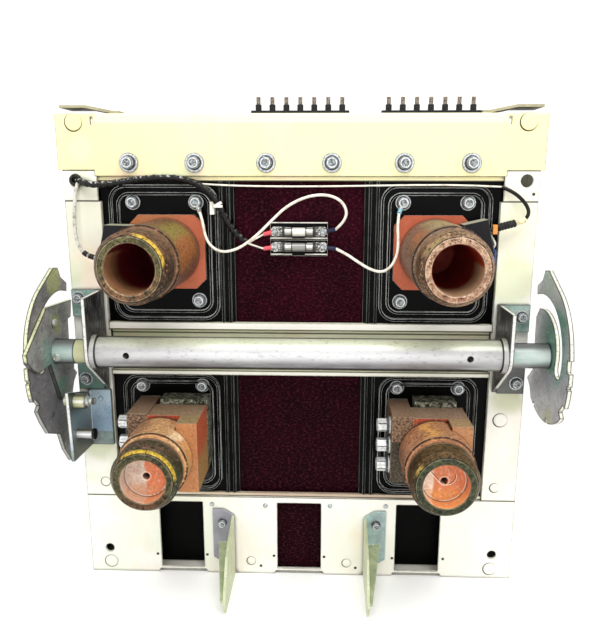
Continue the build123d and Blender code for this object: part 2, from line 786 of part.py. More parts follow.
def lead(points, radius, label):
    """Round lead along its route."""
    path = tube_path(points, label)
    plane = Plane(origin=path @ 0, z_dir=path % 0)
    tube = sweep(plane * Circle(radius), path=path)
    share = tube.volume / (math.pi * radius ** 2 * path.length)
    print(label, "length", round(path.length, 1), "volume share", round(share, 4))
    return tube


lead_left_route = [(44.5, -3.0, 470.0), (54.0, -10.0, 478.8), (58.1, -14.0, 492.5), (49.0, -16.0, 506.5),
                   (30.1, -16.0, 512.2), (7.8, -14.0, 508.7), (-13.7, -13.0, 498.1), (-29.2, -13.0, 483.9),
                   (-45.0, -13.5, 468.0), (-60.9, -14.0, 454.5), (-77.1, -12.0, 445.3), (-94.2, -10.0, 442.2),
                   (-107.4, -9.0, 450.0), (-113.6, -9.0, 463.2), (-115.3, -9.0, 478.8), (-119.2, -7.0, 490.5)]
lead_right_route = [(45.5, -3.0, 446.4), (57.2, -10.0, 441.5), (71.6, -14.0, 432.0), (87.3, -16.0, 422.7),
                    (101.8, -16.0, 419.8), (112.5, -14.0, 427.4), (118.8, -12.0, 441.7), (119.6, -10.0, 458.2),
                    (118.0, -8.5, 475.9), (119.7, -7.0, 489.5)]
harness_route = [(-274.6, 6.0, 529.0), (-258.6, -9.5, 524.6), (-239.9, -10.0, 521.8),
                 (-219.2, -9.0, 524.4), (-197.3, -9.0, 528.0), (-175.6, -9.0, 530.3), (-152.8, -9.0, 531.0),
                 (-131.4, -9.0, 528.0), (-113.8, -9.0, 519.9), (-101.0, -9.0, 508.3), (-93.5, -8.0, 494.2),
                 (-86.1, -7.0, 478.8), (-75.6, -6.0, 463.3), (-62.4, -5.0, 453.0)]
thin_route = [(-127.9, 0.4, 524.2), (-94.5, 0.5, 521.8), (-34.5, 0.4, 520.6), (25.3, 0.5, 520.7),
              (84.7, 0.4, 521.6), (143.8, 0.3, 522.6), (202.7, -0.4, 522.4), (240.1, -2.0, 520.6)]
right_tube_route = [(240.1, -2.6, 520.6), (250.5, -5.5, 516.0), (260.5, -8.0, 508.9), (268.8, -10.0, 499.5),
                    (272.0, -11.0, 490.0), (267.0, -12.0, 482.3), (255.5, -13.0, 478.6), (243.5, -14.0, 475.8),
                    (233.5, -14.0, 472.7), (222.0, -14.0, 470.0)]
left_lead_route = [(-266.0, -2.8, 525.6), (-269.0, -6.0, 515.0), (-269.8, -8.0, 503.0), (-270.6, -9.5, 490.0),
                   (-271.3, -10.0, 476.5), (-271.0, -10.5, 463.0), (-268.0, -11.5, 450.0), (-261.0, -13.0, 440.5),
                   (-250.0, -13.0, 435.4), (-236.0, -13.0, 434.0)]


def cut_by(shape, tools):
    """The shape without the parts of it that lie in the tools."""
    for tool in tools:
        shape = shape - tool
    return shape


def tails():
    """Two thin wires that leave the wrapped harness for the left fuse terminals."""
    start = harness_route[-1]
    rows = fuse_rows()
    ends = [(-43.0, -3.0, rows[0] - 3), (-43.0, -3.0, rows[1] - 2)]
    return [rod(start, end, thin_r) for end in ends]


def lead_lugs():
    """Ring terminals: two on the barriers' corner bolts and four on the fuse terminals."""
    front = board_face - fuse_base_height - 1.5
    rows = fuse_rows()
    terminal_x = fuse_half_width - 6
    bolt_x = pole_x - seat_bolt_x
    pieces = [lug((-bolt_x, upper_z + seat_bolt_z), barrier_face, lead_left_route[-1]),
              lug((bolt_x, upper_z + seat_bolt_z), barrier_face, lead_right_route[-1]),
              lug((terminal_x, rows[0]), front, lead_left_route[0]),
              lug((terminal_x, rows[1]), front, lead_right_route[0]),
              lug((-terminal_x, rows[0]), front, (-43.0, -3.0, rows[0] - 3)),
              lug((-terminal_x, rows[1]), front, (-43.0, -3.0, rows[1] - 2))]
    return pieces


def pair(shape):
    """The shape and its mirror image, as two solids of one piece."""
    return Compound([shape, mirrored(shape)])


left_fuse_lead = lead(lead_left_route, lead_r, "left fuse lead")
right_fuse_lead = lead(lead_right_route, lead_r, "right fuse lead")
harness = lead(harness_route, harness_r, "harness")
sensors = Compound([sensor(pole_x, right_sensor_corners), sensor(-pole_x, left_sensor_corners)])
right_sensor_lead = cut_by(lead(right_tube_route, sleeve_lead_r, "right sensor lead"), [sensors])
lip_wire = cut_by(lead(thin_route, thin_r, "lip wire"), [right_sensor_lead])
left_sensor_lead = cut_by(lead(left_lead_route, sleeve_lead_r, "left sensor lead"), [harness, sensors])
lugs = [cut_by(shape, [left_fuse_lead, right_fuse_lead]) for shape in lead_lugs()]
tail_wires = [cut_by(shape, [harness] + lugs) for shape in tails()]

pieces = {
    "top_rail": top_rail(),
    "rail_lip": rail_lip(),
    "corner_gussets": pair(corner_gusset()),
    "right_post": post(),
    "left_post": mirrored(post()),
    "cross_channel": cross_channel(),
    "chassis_rear": chassis_rear(),
    "chassis_floor": chassis_floor(),
    "sill_strip": sill_strip(),
    "side_plates": pair(side_plate()),
    "front_panel": front_panel(),
    "front_cover": front_cover(),
    "lifting_ears": pair(lifting_ear()),
    "right_pole_barrier": pole_barrier(lower_bar_x(pole_x)),
    "left_pole_barrier": mirrored(pole_barrier(-lower_bar_x(-pole_x))),
    "centre_board": centre_board(),
    "lower_boards": pair(lower_board()),
    "pole_housings": pair(pole_housing()),
    "arc_chutes": pair(arc_chute()),
    "mechanism_housing": mechanism_housing(),
    "right_upper_terminal": upper_terminal(pole_x, 0.0),
    "left_upper_terminal": upper_terminal(-pole_x, left_upper_longer),
    "right_lower_terminal": lower_terminal(pole_x),
    "left_lower_terminal": lower_terminal(-pole_x),
    "right_bus_bar": lower_bus_bar(pole_x),
    "left_bus_bar": lower_bus_bar(-pole_x),
    "racking_tube": racking_tube(),
    "right_racking_cam": racking_cam(cam_inner, False),
    "left_racking_cam": racking_cam(-cam_inner - cam_thickness, True),
    "racking_lever": racking_lever(),
    "right_bearing_bracket": bearing_bracket(bracket_top_right),
    "left_bearing_bracket": mirrored(bearing_bracket(bracket_top_left)),
    "interlock_bracket": interlock_bracket(),
    "interlock_studs": interlock_studs(),
    "shutter_ramps": pair(shutter_ramp()),
    "pin_strips": Compound([secondary_strip(middle) for middle in pin_row_x]),
    "fuse_base": fuse_base(),
    "fuse_links": fuse_links(),
    "sensors": sensors,
    "lead_lugs": Compound(lugs),
    "left_fuse_lead": left_fuse_lead,
    "right_fuse_lead": right_fuse_lead,
    "harness": harness,
    "harness_tails": Compound(tail_wires),
    "lip_wire": lip_wire,
    "right_sensor_lead": right_sensor_lead,
    "left_sensor_lead": left_sensor_lead,
}

for name, piece in pieces.items():
    export_step(Pos(0, -body_depth / 2, 0) * piece, f"parts/{name}.step")
print(len(pieces), "nodes")
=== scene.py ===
import math

import bpy
import numpy as np
from mathutils import Matrix


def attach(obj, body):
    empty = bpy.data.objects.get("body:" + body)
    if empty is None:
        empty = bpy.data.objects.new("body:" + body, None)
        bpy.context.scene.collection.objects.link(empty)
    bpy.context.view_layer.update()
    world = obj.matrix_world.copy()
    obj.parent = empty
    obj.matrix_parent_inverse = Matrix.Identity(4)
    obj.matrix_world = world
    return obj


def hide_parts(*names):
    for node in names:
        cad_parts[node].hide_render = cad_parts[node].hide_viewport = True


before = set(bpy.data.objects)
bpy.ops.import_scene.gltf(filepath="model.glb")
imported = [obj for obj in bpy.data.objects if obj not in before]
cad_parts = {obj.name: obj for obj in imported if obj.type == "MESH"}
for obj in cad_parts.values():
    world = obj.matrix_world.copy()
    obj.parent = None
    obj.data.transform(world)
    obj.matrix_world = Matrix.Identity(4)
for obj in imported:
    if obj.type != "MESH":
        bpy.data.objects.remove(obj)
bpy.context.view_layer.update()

# View: the breaker seen from its contact side, slightly from above and from the right of
# its middle. The distance, the turn and the lens come from the frame's own right angles.

view_from = (0.03164, -0.98439, 0.53078)
view_yaw, view_pitch, view_roll = (math.radians(a) for a in (1.848, -12.488, -0.074))
focal_px, height_px, sensor_mm = 642.08, 640.0, 36.0
view_turn = (Matrix.Rotation(view_yaw, 3, "Z") @ Matrix.Rotation(view_pitch, 3, "X")
             @ Matrix.Rotation(view_roll, 3, "Y"))
view_right, view_ahead, view_up = (view_turn.col[i] for i in range(3))
view_camera = bpy.data.cameras.new("view")
view_camera.sensor_width = sensor_mm
view_camera.lens = focal_px * sensor_mm / height_px
view_camera.clip_start = 0.02
view_camera.clip_end = 30.0
viewpoint = bpy.data.objects.new("view", view_camera)
bpy.context.scene.collection.objects.link(viewpoint)
viewpoint.matrix_world = Matrix([(view_right[i], view_up[i], -view_ahead[i], view_from[i]) for i in range(3)]
                                + [(0.0, 0.0, 0.0, 1.0)])
bpy.context.scene.camera = viewpoint
bpy.context.scene.view_settings.view_transform = "Standard"

# Frame: folded sheet steel, welded at its corners and painted with a cream gloss enamel
# that has gone thin and slightly pink or green where it is rubbed. Its seams, corners, sharp
# edges and joints are darkened with painted shade.


def math_node(operation, swapped=False):
    """A method that works out an operation on two numbers in a Math node."""
    def method(self, other=0.0):
        first, second = (other, self) if swapped else (self, other)
        return self.finish.node("ShaderNodeMath", {0: first, 1: second}, operation=operation)
    return method


class Wire:
    """One output socket of a finish. Arithmetic on it adds the nodes that work it out."""

    __add__, __radd__ = math_node("ADD"), math_node("ADD", True)
    __sub__, __rsub__ = math_node("SUBTRACT"), math_node("SUBTRACT", True)
    __mul__, __truediv__ = math_node("MULTIPLY"), math_node("DIVIDE")
    __pow__, __abs__ = math_node("POWER"), math_node("ABSOLUTE")
    most = math_node("MAXIMUM")

    def __init__(self, finish, socket):
        self.finish = finish
        self.socket = socket

    def step(self, low, high, first=0.0, last=1.0):
        """The value spread between two limits, eased and held at its ends."""
        return self.finish.node("ShaderNodeMapRange", {0: self, 1: low, 2: high, 3: first, 4: last},
                                interpolation_type="SMOOTHSTEP")

    def near(self, place, outer, inner=None):
        """1 within inner of a place, and 0 farther than outer from it."""
        return abs(self - place).step(outer, outer * 0.4 if inner is None else inner)


def tint(red, green, blue):
    """Linear colour from screen values of 0 to 255."""
    return tuple((value / 255.0) ** 2.2 for value in (red, green, blue))


class Finish:
    """A material. Constant values go on the shader's sockets, varying ones come through nodes."""

    def __init__(self, name, **constants):
        self.material = bpy.data.materials.new(name)
        self.material.use_nodes = True
        self.tree = self.material.node_tree
        self.shader = self.tree.nodes["Principled BSDF"]
        for socket, value in constants.items():
            self.shader.inputs[socket.replace("_", " ")].default_value = value
        self.at = self.node("ShaderNodeTexCoord", out="Object")

    def node(self, kind, sockets=None, out=0, **settings):
        """Any node: its settings first, then the values or links of its sockets."""
        made = self.tree.nodes.new(kind)
        for key, value in settings.items():
            setattr(made, key, value)
        for key, value in (sockets or {}).items():
            if isinstance(value, Wire):
                self.tree.links.new(value.socket, made.inputs[key])
            else:
                made.inputs[key].default_value = value
        return Wire(self, made.outputs[out])

    def split(self, vector):
        """The three numbers of a vector."""
        parts = self.node("ShaderNodeSeparateXYZ", {0: vector})
        return [Wire(self, socket) for socket in parts.socket.node.outputs]

    def xyz(self):
        """Side, depth and rise on the breaker, in metres, from Object coordinates."""
        return self.split(self.at)

    def along(self, centre=(0, 0, 0), scale=(1, 1, 1)):
        """Object coordinates about a centre, stretched."""
        moved = self.node("ShaderNodeVectorMath", {0: self.at, 1: centre}, operation="SUBTRACT")
        return self.node("ShaderNodeMapping", {0: moved, "Scale": scale}, vector_type="POINT")

    def distance(self, centre):
        """How far the surface is from a place."""
        return self.node("ShaderNodeVectorMath", {0: self.at, 1: centre}, out="Value", operation="DISTANCE")

    def grain(self, scale, detail=4.0, rough=0.6, where=None, stretch=None):
        """Noise from 0 to 1; scale counts its cells in a metre."""
        where = where or (self.along(scale=stretch) if stretch else self.at)
        return self.node("ShaderNodeTexNoise", {"Vector": where, "Scale": scale, "Detail": detail,
                                                "Roughness": rough})

    def attribute(self, name):
        """A number that the mesh carries at its points."""
        return self.node("ShaderNodeAttribute", out="Fac", attribute_name=name)

    def mix(self, share, first, second):
        """Two colours mixed by a share; a colour is a wire or linear values."""
        first, second = (c if isinstance(c, Wire) else (*c, 1.0) for c in (first, second))
        return self.node("ShaderNodeMix", {0: share, 6: first, 7: second}, out=2, data_type="RGBA")

    def lay(self, colour, *layers):
        """Layers (share, tone) laid on a colour in turn; a colour is a wire or screen values."""
        colour = colour if isinstance(colour, Wire) else tint(*colour)
        for share, tone in layers:
            colour = self.mix(share, colour, tone if isinstance(tone, Wire) else tint(*tone))
        return colour

    def facing(self, axis):
        """How far the surface faces along an axis of the breaker, from -1 to 1."""
        normal = self.node("ShaderNodeNewGeometry", out="Normal")
        return self.split(normal)["XYZ".index(axis)]

    def rounded(self, radius):
        """Surface normal with its sharp edges rounded off."""
        return self.node("ShaderNodeBevel", {"Radius": radius}, samples=6)

    def crease(self, radius, full=0.25):
        """1 near a sharp edge and 0 on flat faces; full is the bend that counts as 1."""
        normal = self.node("ShaderNodeNewGeometry", out="Normal")
        pair = {0: normal, 1: self.rounded(radius)}
        dot = self.node("ShaderNodeVectorMath", pair, out="Value", operation="DOT_PRODUCT")
        return (1.0 - dot).step(0.02, full)

    def seam(self, reach, samples=8):
        """Painted shade mask: 1 deep in a corner between faces, and 0 out in the open."""
        open_share = self.node("ShaderNodeAmbientOcclusion", {"Distance": reach}, out="AO", samples=samples)
        return open_share.step(0.72, 0.38)

    def feed(self, colour, rough=None, bump=None, relief=0.0001, strength=0.4, soft=None, **inputs):
        """Links the shader's inputs. Its normal comes from edges rounded by soft, then from the bump
        height, where relief is the height in metres."""
        inputs["Base_Color"] = colour
        if rough is not None:
            inputs["Roughness"] = rough
        if soft is not None:
            inputs["Normal"] = self.rounded(soft)
        if bump is not None:
            under = {"Normal": inputs["Normal"]} if soft is not None else {}
            inputs["Normal"] = self.node("ShaderNodeBump", {"Height": bump, "Distance": relief,
                                                            "Strength": strength, **under})
        for socket, value in inputs.items():
            self.tree.links.new(value.socket, self.shader.inputs[socket.replace("_", " ")])
        return self.material


def wear(material, *nodes):
    """Gives a finish to CAD nodes."""
    for name in nodes:
        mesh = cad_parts[name].data
        mesh.materials.clear()
        mesh.materials.append(material)


def cream_enamel(name, tone, yellow, lines=(), patches=(), bands=()):
    """Gloss enamel: clouds, patches (centre, reach, tone, share), painted shade lines at heights z, and pale
    bands (low, high, tone, share), with painted shade along sharp edges and in corners. Its tones are linear
    values."""
    paint = Finish(name, Roughness=0.32, Coat_Weight=0.15, Coat_Roughness=0.2)
    cloud = paint.grain(5.0, 3.0).step(0.35, 0.7)
    blush = paint.grain(14.0, 4.0, where=paint.along((0.4, 0.1, 0.7), (1.0, 1.0, 0.4))).step(0.47, 0.62)
    moss = paint.grain(13.0, 4.0, where=paint.along((0.1, 0.7, 0.2))).step(0.48, 0.6)
    streak = paint.grain(26.0, 4.0, stretch=(1.0, 1.0, 0.16)).step(0.56, 0.78)
    grime = paint.grain(60.0, 5.0).step(0.62, 0.8) * paint.grain(7.0, 2.0).step(0.5, 0.65)
    side, _, rise = paint.xyz()
    front = paint.facing("Y").step(-0.3, -0.7)
    clouded = side.step(0.05, -0.1, 0.16, 0.6) * rise.step(0.12, 0.2, 0.3, 1.0) * front + 0.06
    layers = [(cloud * yellow, (0.93, 0.82, 0.46)), (blush * clouded, (0.88, 0.62, 0.5)),
              (moss * clouded, (0.66, 0.76, 0.48))]
    for centre, reach, patch, share in patches:
        ragged = paint.distance(centre) + (cloud - 0.5) * 0.03 + (moss - streak) * 0.012
        layers.append((ragged.step(reach, reach * 0.3) * share, patch))
    for low, high, pale, share in bands:
        within = rise.step(low - 0.0006, low + 0.0006) * rise.step(high + 0.0006, high - 0.0006)
        layers.append((within * abs(side).step(0.243, 0.24) * front * share, pale))
    # Painted shade along the sharp edges, a little patchy.
    painted_edge_shade = paint.crease(0.0024, 0.12) * paint.grain(90.0, 3.0).step(0.36, 0.6, 0.55, 1.0)
    # The last two of these layers are painted shade: along sharp edges and deep in corners.
    layers += [(streak * clouded * 0.7, (0.56, 0.66, 0.4)), (grime * 0.45, (0.45, 0.38, 0.27)),
               (painted_edge_shade * 0.8, (0.1, 0.09, 0.05)), (paint.seam(0.009) * 0.9, (0.07, 0.06, 0.03))]
    # Painted shade: dark lines along the joints at the heights given in lines.
    layers += [(rise.near(height, 0.0013, 0.0006) * front * 0.9, (0.05, 0.05, 0.025)) for height in lines]
    colour = tone
    for share, over in layers:
        colour = paint.mix(share, colour, over)
    gloss = 0.28 + grime * 0.3 + paint.grain(40.0) * 0.12
    return paint.feed(colour, gloss, paint.grain(900.0, 2.0), 0.00008, 0.5, 0.0012)


contact_plane = -0.2
rail_paint = cream_enamel("rail_enamel", (0.92, 0.85, 0.44), 0.6, (0.527,), [
    ((-0.24, contact_plane, 0.57), 0.09, (0.9, 0.78, 0.4), 0.6),
    ((-0.262, contact_plane, 0.56), 0.02, (0.92, 0.78, 0.56), 0.4)], [(0.594, 0.65, (0.95, 0.92, 0.66), 0.6)])
# The dark olive patch at x 0.268, z 0.262, just under the right bracket, is painted shade.
body_patches = [((x, contact_plane, z), reach, tone, share) for x, z, reach, tone, share in (
    (-0.262, 0.475, 0.07, (0.64, 0.62, 0.46), 0.65), (-0.262, 0.525, 0.03, (0.62, 0.64, 0.44), 0.6),
    (-0.258, 0.415, 0.035, (0.93, 0.74, 0.58), 0.7), (0.262, 0.47, 0.06, (0.84, 0.84, 0.56), 0.5),
    (0.262, 0.405, 0.03, (0.7, 0.76, 0.44), 0.6), (0.268, 0.262, 0.03, (0.5, 0.56, 0.28), 0.6),
    (-0.262, 0.192, 0.036, (0.56, 0.62, 0.34), 0.65), (0.08, 0.06, 0.035, (0.94, 0.82, 0.66), 0.6))]
body_paint = cream_enamel("body_enamel", (0.94, 0.94, 0.87), 0.08, (0.5392, 0.503, 0.114), body_patches)
sill_paint = cream_enamel("sill_enamel", (0.55, 0.42, 0.32), 0.1, (0.114,), [
    ((-0.2, contact_plane, 0.117), 0.1, (0.86, 0.84, 0.74), 0.9),
    ((0.24, contact_plane, 0.117), 0.08, (0.8, 0.76, 0.66), 0.8)])
channel_paint = cream_enamel("channel_enamel", (0.84, 0.86, 0.66), 0.2, (0.3434, 0.337, 0.2895), (), [
    (0.3445, 0.4, (0.98, 0.96, 0.92), 0.8), (0.25, 0.2885, (0.97, 0.96, 0.88), 0.7)])
wear(rail_paint, "top_rail", "rail_lip")
wear(channel_paint, "cross_channel")
wear(body_paint, "corner_gussets", "right_post", "left_post", "chassis_rear", "chassis_floor",
     "side_plates", "front_panel", "front_cover")
wear(sill_paint, "sill_strip")

# Floor and light: a plain pale floor that runs up behind the breaker as a backdrop, and
# large soft lamps above, in front and at both sides.


def sweep_floor():
    """Floor strip carried across x: flat, a quarter circle, then an upright wall."""
    depth, half, bend = 2.2, 3.0, 0.7
    arc = np.linspace(0.0, math.pi / 2, 24)
    y = np.concatenate([[-4.0], depth + bend * np.sin(arc), [depth + bend]])
    z = np.concatenate([[0.0], bend * (1 - np.cos(arc)), [4.0]]) - 0.0002
    points = np.zeros((len(y), 2, 3))
    points[..., 0] = (-half, half)
    points[..., 1] = y[:, None]
    points[..., 2] = z[:, None]
    return points


def grid_quads(count_u, count_v, round_v):
    """Corner numbers of a grid's faces; round_v joins its last column to its first."""
    index = np.arange(count_u * count_v).reshape(count_u, count_v)
    if round_v:
        index = np.concatenate([index, index[:, :1]], 1)
    return np.stack([index[:-1, :-1], index[1:, :-1], index[1:, 1:], index[:-1, 1:]], -1).reshape(-1, 4)


def quad_mesh(name, corners, quads):
    """Smooth mesh of four-cornered faces."""
    mesh = bpy.data.meshes.new(name)
    mesh.vertices.add(len(corners))
    mesh.vertices.foreach_set("co", corners.astype(np.float32).ravel())
    mesh.loops.add(quads.size)
    mesh.loops.foreach_set("vertex_index", quads.astype(np.int32).ravel())
    mesh.polygons.add(len(quads))
    mesh.polygons.foreach_set("loop_start", np.arange(0, quads.size, 4, dtype=np.int32))
    mesh.polygons.foreach_set("use_smooth", np.full(len(quads), True))
    mesh.update(calc_edges=True)
    mesh.validate()
    return mesh


def grid_mesh(name, points, round_v=True):
    """Mesh of a surface given as points[u, v]."""
    return quad_mesh(name, points.reshape(-1, 3), grid_quads(*points.shape[:2], round_v))


def place(name, mesh, material):
    """An object at the origin that shows a mesh in a finish."""
    mesh.materials.append(material)
    made = bpy.data.objects.new(name, mesh)
    bpy.context.scene.collection.objects.link(made)
    return made


def pale_backdrop():
    """White to the camera and in reflections; a plain pale floor to everything else."""
    paper = Finish("studio_paper", Roughness=0.9, Emission_Strength=0.45)
    seen = paper.node("ShaderNodeLightPath", out="Is Camera Ray")
    for ray in ("Is Glossy Ray", "Is Transmission Ray"):
        seen = seen.most(paper.node("ShaderNodeLightPath", out=ray))
    far = paper.mix(paper.xyz()[1].step(0.3, 1.8), (0.5, 0.5, 0.5), (1.0, 1.0, 1.0))
    return paper.feed(paper.mix(seen, (0.8, 0.79, 0.77), (0.82, 0.82, 0.81)),
                      Emission_Color=paper.mix(seen, (0.0, 0.0, 0.0), far))


backdrop = place("studio_floor", grid_mesh("studio_floor", sweep_floor(), False), pale_backdrop())

world = bpy.data.worlds.new("studio")
world.use_nodes = True
sky = world.node_tree.nodes["Background"]
sky.inputs["Color"].default_value = (1.0, 0.99, 0.97, 1.0)
sky.inputs["Strength"].default_value = 0.55
white = world.node_tree.nodes.new("ShaderNodeBackground")
white.inputs["Color"].default_value = (1.0, 1.0, 1.0, 1.0)
seen_share = world.node_tree.nodes.new("ShaderNodeMixShader")
light_path = world.node_tree.nodes.new("ShaderNodeLightPath")
for source, target in ((light_path.outputs["Is Camera Ray"], seen_share.inputs[0]),
                       (sky.outputs[0], seen_share.inputs[1]), (white.outputs[0], seen_share.inputs[2]),
                       (seen_share.outputs[0], world.node_tree.nodes["World Output"].inputs["Surface"])):
    world.node_tree.links.new(source, target)
bpy.context.scene.world = world


def lamp(name, place_at, aim, width, height, power):
    """Soft rectangular lamp that looks at a point."""
    light = bpy.data.lights.new(name, "AREA")
    light.shape = "RECTANGLE"
    light.size = width
    light.size_y = height
    light.energy = power
    holder = bpy.data.objects.new(name, light)
    bpy.context.scene.collection.objects.link(holder)
    holder.location = place_at
    ahead = np.array(aim) - np.array(place_at)
    ahead = ahead / np.linalg.norm(ahead)
    side = np.cross(ahead, (0.0, 0.0, 1.0))
    side = side / np.linalg.norm(side)
    top = np.cross(side, ahead)
    holder.rotation_euler = Matrix([(side[i], top[i], -ahead[i]) for i in range(3)]).to_euler()


lamp("lamp_above", (0.2, -1.3, 2.3), (0.0, -0.2, 0.35), 1.8, 1.2, 42.0)
lamp("lamp_left", (-2.0, -1.2, 1.2), (0.0, -0.2, 0.3), 1.2, 1.6, 16.0)
lamp("lamp_right", (2.0, -1.4, 1.1), (0.0, -0.2, 0.3), 1.2, 1.6, 14.0)
lamp("lamp_front", (0.0, -2.6, 0.5), (0.0, 0.0, 0.3), 2.0, 0.8, 10.0)

# Rail bolts: hexagon head screws on a spring washer and a plain washer, bright zinc with a
# blue cast, that hold the rail to the pole barriers' upper edge.


def turned_ring(profile, centre, axis, sides=36):
    """Surface turned about an axis through centre from pairs of radius and height along the axis."""
    profile, centre, axis = (np.array(values, float) for values in (profile, centre, axis))
    angle = np.linspace(0, 2 * math.pi, sides, endpoint=False)
    first = np.cross(axis, (0.0, 0.0, 1.0) if abs(axis[2]) < 0.9 else (1.0, 0.0, 0.0))
    first = first / np.linalg.norm(first)
    second = np.cross(axis, first)
    spoke = np.cos(angle)[None, :, None] * first + np.sin(angle)[None, :, None] * second
    return centre + profile[:, 0, None, None] * spoke + profile[:, 1, None, None] * axis


def hexagon_head(centre, axis, width, height, turn=0.0, sides=48):
    """Hexagon bar end whose corners are turned off: the radius is the lesser of hexagon and cone."""
    angle = np.linspace(0, 2 * math.pi, sides, endpoint=False)
    flat = width / 2 / np.cos((angle + turn + math.pi / 6) % (math.pi / 3) - math.pi / 6)
    corner = width / 2 / math.cos(math.pi / 6)
    levels = np.array([(corner, 0.0), (corner, 0.8 * height), (corner * 0.945, 0.93 * height),
                       (width * 0.46, height), (width * 0.3, height), (width * 0.26, height * 0.94),
                       (1e-5, height * 0.93)])
    radius = np.minimum(flat[None], levels[:, :1])
    base = turned_ring([(1.0, 0.0)], (0, 0, 0), axis, sides)[0]
    rise = levels[:, 1, None, None] * np.array(axis, float)
    return np.array(centre, float) + radius[..., None] * base[None] + rise


def fit(name, surfaces, material, body="frame", sharp=30.0):
    """One piece from several closed surfaces, sharp past an angle. A fourth coordinate of the
    points, if there is one, becomes the attribute spoke."""
    faces, spokes, start = [], [], 0
    for points in surfaces:
        count_u, count_v = points.shape[:2]
        faces.append(grid_quads(count_u, count_v, True)[:, [0, 3, 2, 1]] + start)
        spokes.append(points[..., 3].ravel() if points.shape[2] == 4 else np.full(count_u * count_v, 0.52))
        start += count_u * count_v
    corners = np.concatenate([points[..., :3].reshape(-1, 3) for points in surfaces])
    mesh = quad_mesh(name, corners, np.concatenate(faces))
    mesh.attributes.new("spoke", "FLOAT", "POINT").data.foreach_set(
        "value", np.concatenate(spokes).astype(np.float32))
    if sharp:
        mesh.set_sharp_from_angle(angle=math.radians(sharp))
    made = place(name, mesh, material)
    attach(made, body)


def screw_set(centre, axis, washer, head, turn, washer_thick=1.8, spring=1.9, height=6.0):
    """Plain washer, spring washer and hexagon head along the axis, sized in millimetres. The
    fourth coordinate is the distance from the axis over the head's width."""
    outer, width, flat, coil, tall = (size * 0.001 for size in (washer, head, washer_thick, spring, height))
    outer, ring, soft = outer / 2, width * 0.62, 0.0003
    centre, axis = np.array(centre, float), np.array(axis, float)
    plate = [(1e-5, 0.0), (outer, 0.0), (outer, flat - soft), (outer - soft, flat), (1e-5, flat)]
    lock = [(1e-5, 0.0), (ring - soft, 0.0), (ring, soft), (ring, coil - soft), (ring - soft, coil),
            (1e-5, coil)]
    stack = [turned_ring(plate, centre, axis), turned_ring(lock, centre + axis * flat, axis),
             hexagon_head(centre + axis * (flat + coil), axis, width, tall, turn)]
    off = [points - centre - ((points - centre) @ axis)[..., None] * axis for points in stack]
    return [np.concatenate([points, np.linalg.norm(away, axis=-1, keepdims=True) / width], -1)
            for points, away in zip(stack, off)]


def bright_zinc(name, tone, blue, rough=0.34, dull=(0.06, 0.065, 0.065)):
    """Zinc plate on small screws: mottled metal with a cast of colour, painted highlights in pale rings,
    and painted shade in dark rings at its edges and grooves, along its creases and in its corners. Its tones
    are linear values."""
    zinc = Finish(name, Metallic=0.4, Specular_IOR_Level=0.3)
    cloud = zinc.grain(230.0, 4.0).step(0.3, 0.75)
    blotch = zinc.grain(430.0, 4.0, 0.7).step(0.46, 0.56)
    spoke = zinc.attribute("spoke")
    # Painted highlights: pale rings on the chamfers and the washer.
    bright = spoke.near(0.4, 0.07, 0.03).most(spoke.near(0.72, 0.07, 0.03))
    # Painted shade: dark rings at the edges and grooves between washers and head.
    groove = spoke.near(0.595, 0.05, 0.03).most(spoke.near(0.475, 0.03, 0.016) * 0.8)
    groove = groove.most(spoke.near(0.31, 0.03, 0.012) * 0.8)
    colour = tone
    # Pale rings are painted highlights; dark rings, dark creases and dark corners are painted shade; the
    # head's middle is darker.
    for share, over in ((cloud, blue), (blotch * 0.5, dull),
                        (bright * (0.75 - blotch * 0.4), (0.82, 0.85, 0.86)),
                        (spoke.step(0.3, 0.25) * (0.3 + blotch * 0.5), (0.04, 0.045, 0.045)),
                        (groove * (1.0 - cloud * 0.3), (0.012, 0.012, 0.011)),
                        (zinc.crease(0.0012, 0.1) * 0.85, (0.02, 0.02, 0.018)),
                        (zinc.seam(0.004), (0.015, 0.015, 0.014))):
        colour = zinc.mix(share, colour, over)
    return zinc.feed(colour, rough + cloud * 0.18, zinc.grain(1500.0, 2.0), 0.00006, soft=0.0004)


outward = (0, -1, 0)
screw_zinc = bright_zinc("screw_zinc", (0.62, 0.63, 0.62), (0.52, 0.6, 0.66))
rail_screws = []
for number, x in enumerate((-0.204, -0.125, -0.0393, 0.0393, 0.125, 0.204)):
    rail_screws += screw_set((x, contact_plane, 0.5482), outward, 23.0, 13.5, 0.4 * number, 1.8, 2.4, 6.5)
fit("rail_bolts", rail_screws, screw_zinc)

# Leads: round insulated wires that lie against the frame, each along its own free curve: two
# fuse leads, a thin wire on the rail's lip, and one lead to each sensor.


def insulation(name, tone, soiled, rough):
    """Wire insulation: one tone, dirtier in patches, with a faint satin grain."""
    skin = Finish(name, Specular_IOR_Level=0.3)
    dirt = skin.grain(160.0, 4.0).step(0.45, 0.75)
    return skin.feed(skin.lay(tone, (dirt, soiled)), rough + dirt * 0.15, skin.grain(1200.0), 0.00005, 0.3)


def free_line(name, points):
    """Unbevelled NURBS curve with a route's points as its control points."""
    curve = bpy.data.curves.new(name, "CURVE")
    curve.dimensions = "3D"
    spline = curve.splines.new("NURBS")
    spline.points.add(len(points) - 1)
    spline.points.foreach_set("co", np.c_[np.array(points), np.ones(len(points))].ravel())
    spline.order_u = 3
    spline.use_endpoint_u = True
    spline.resolution_u = 12
    made = bpy.data.objects.new(name, curve)
    bpy.context.scene.collection.objects.link(made)
    return made


def wire(name, points, radius, material):
    """Round free lead that stands for the CAD node of its name."""
    made = free_line(name + "_line", points)
    made.data.bevel_depth = radius
    made.data.bevel_resolution = 5
    made.data.use_fill_caps = True
    made.data.materials.append(material)
    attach(made, "frame")
    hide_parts(name)


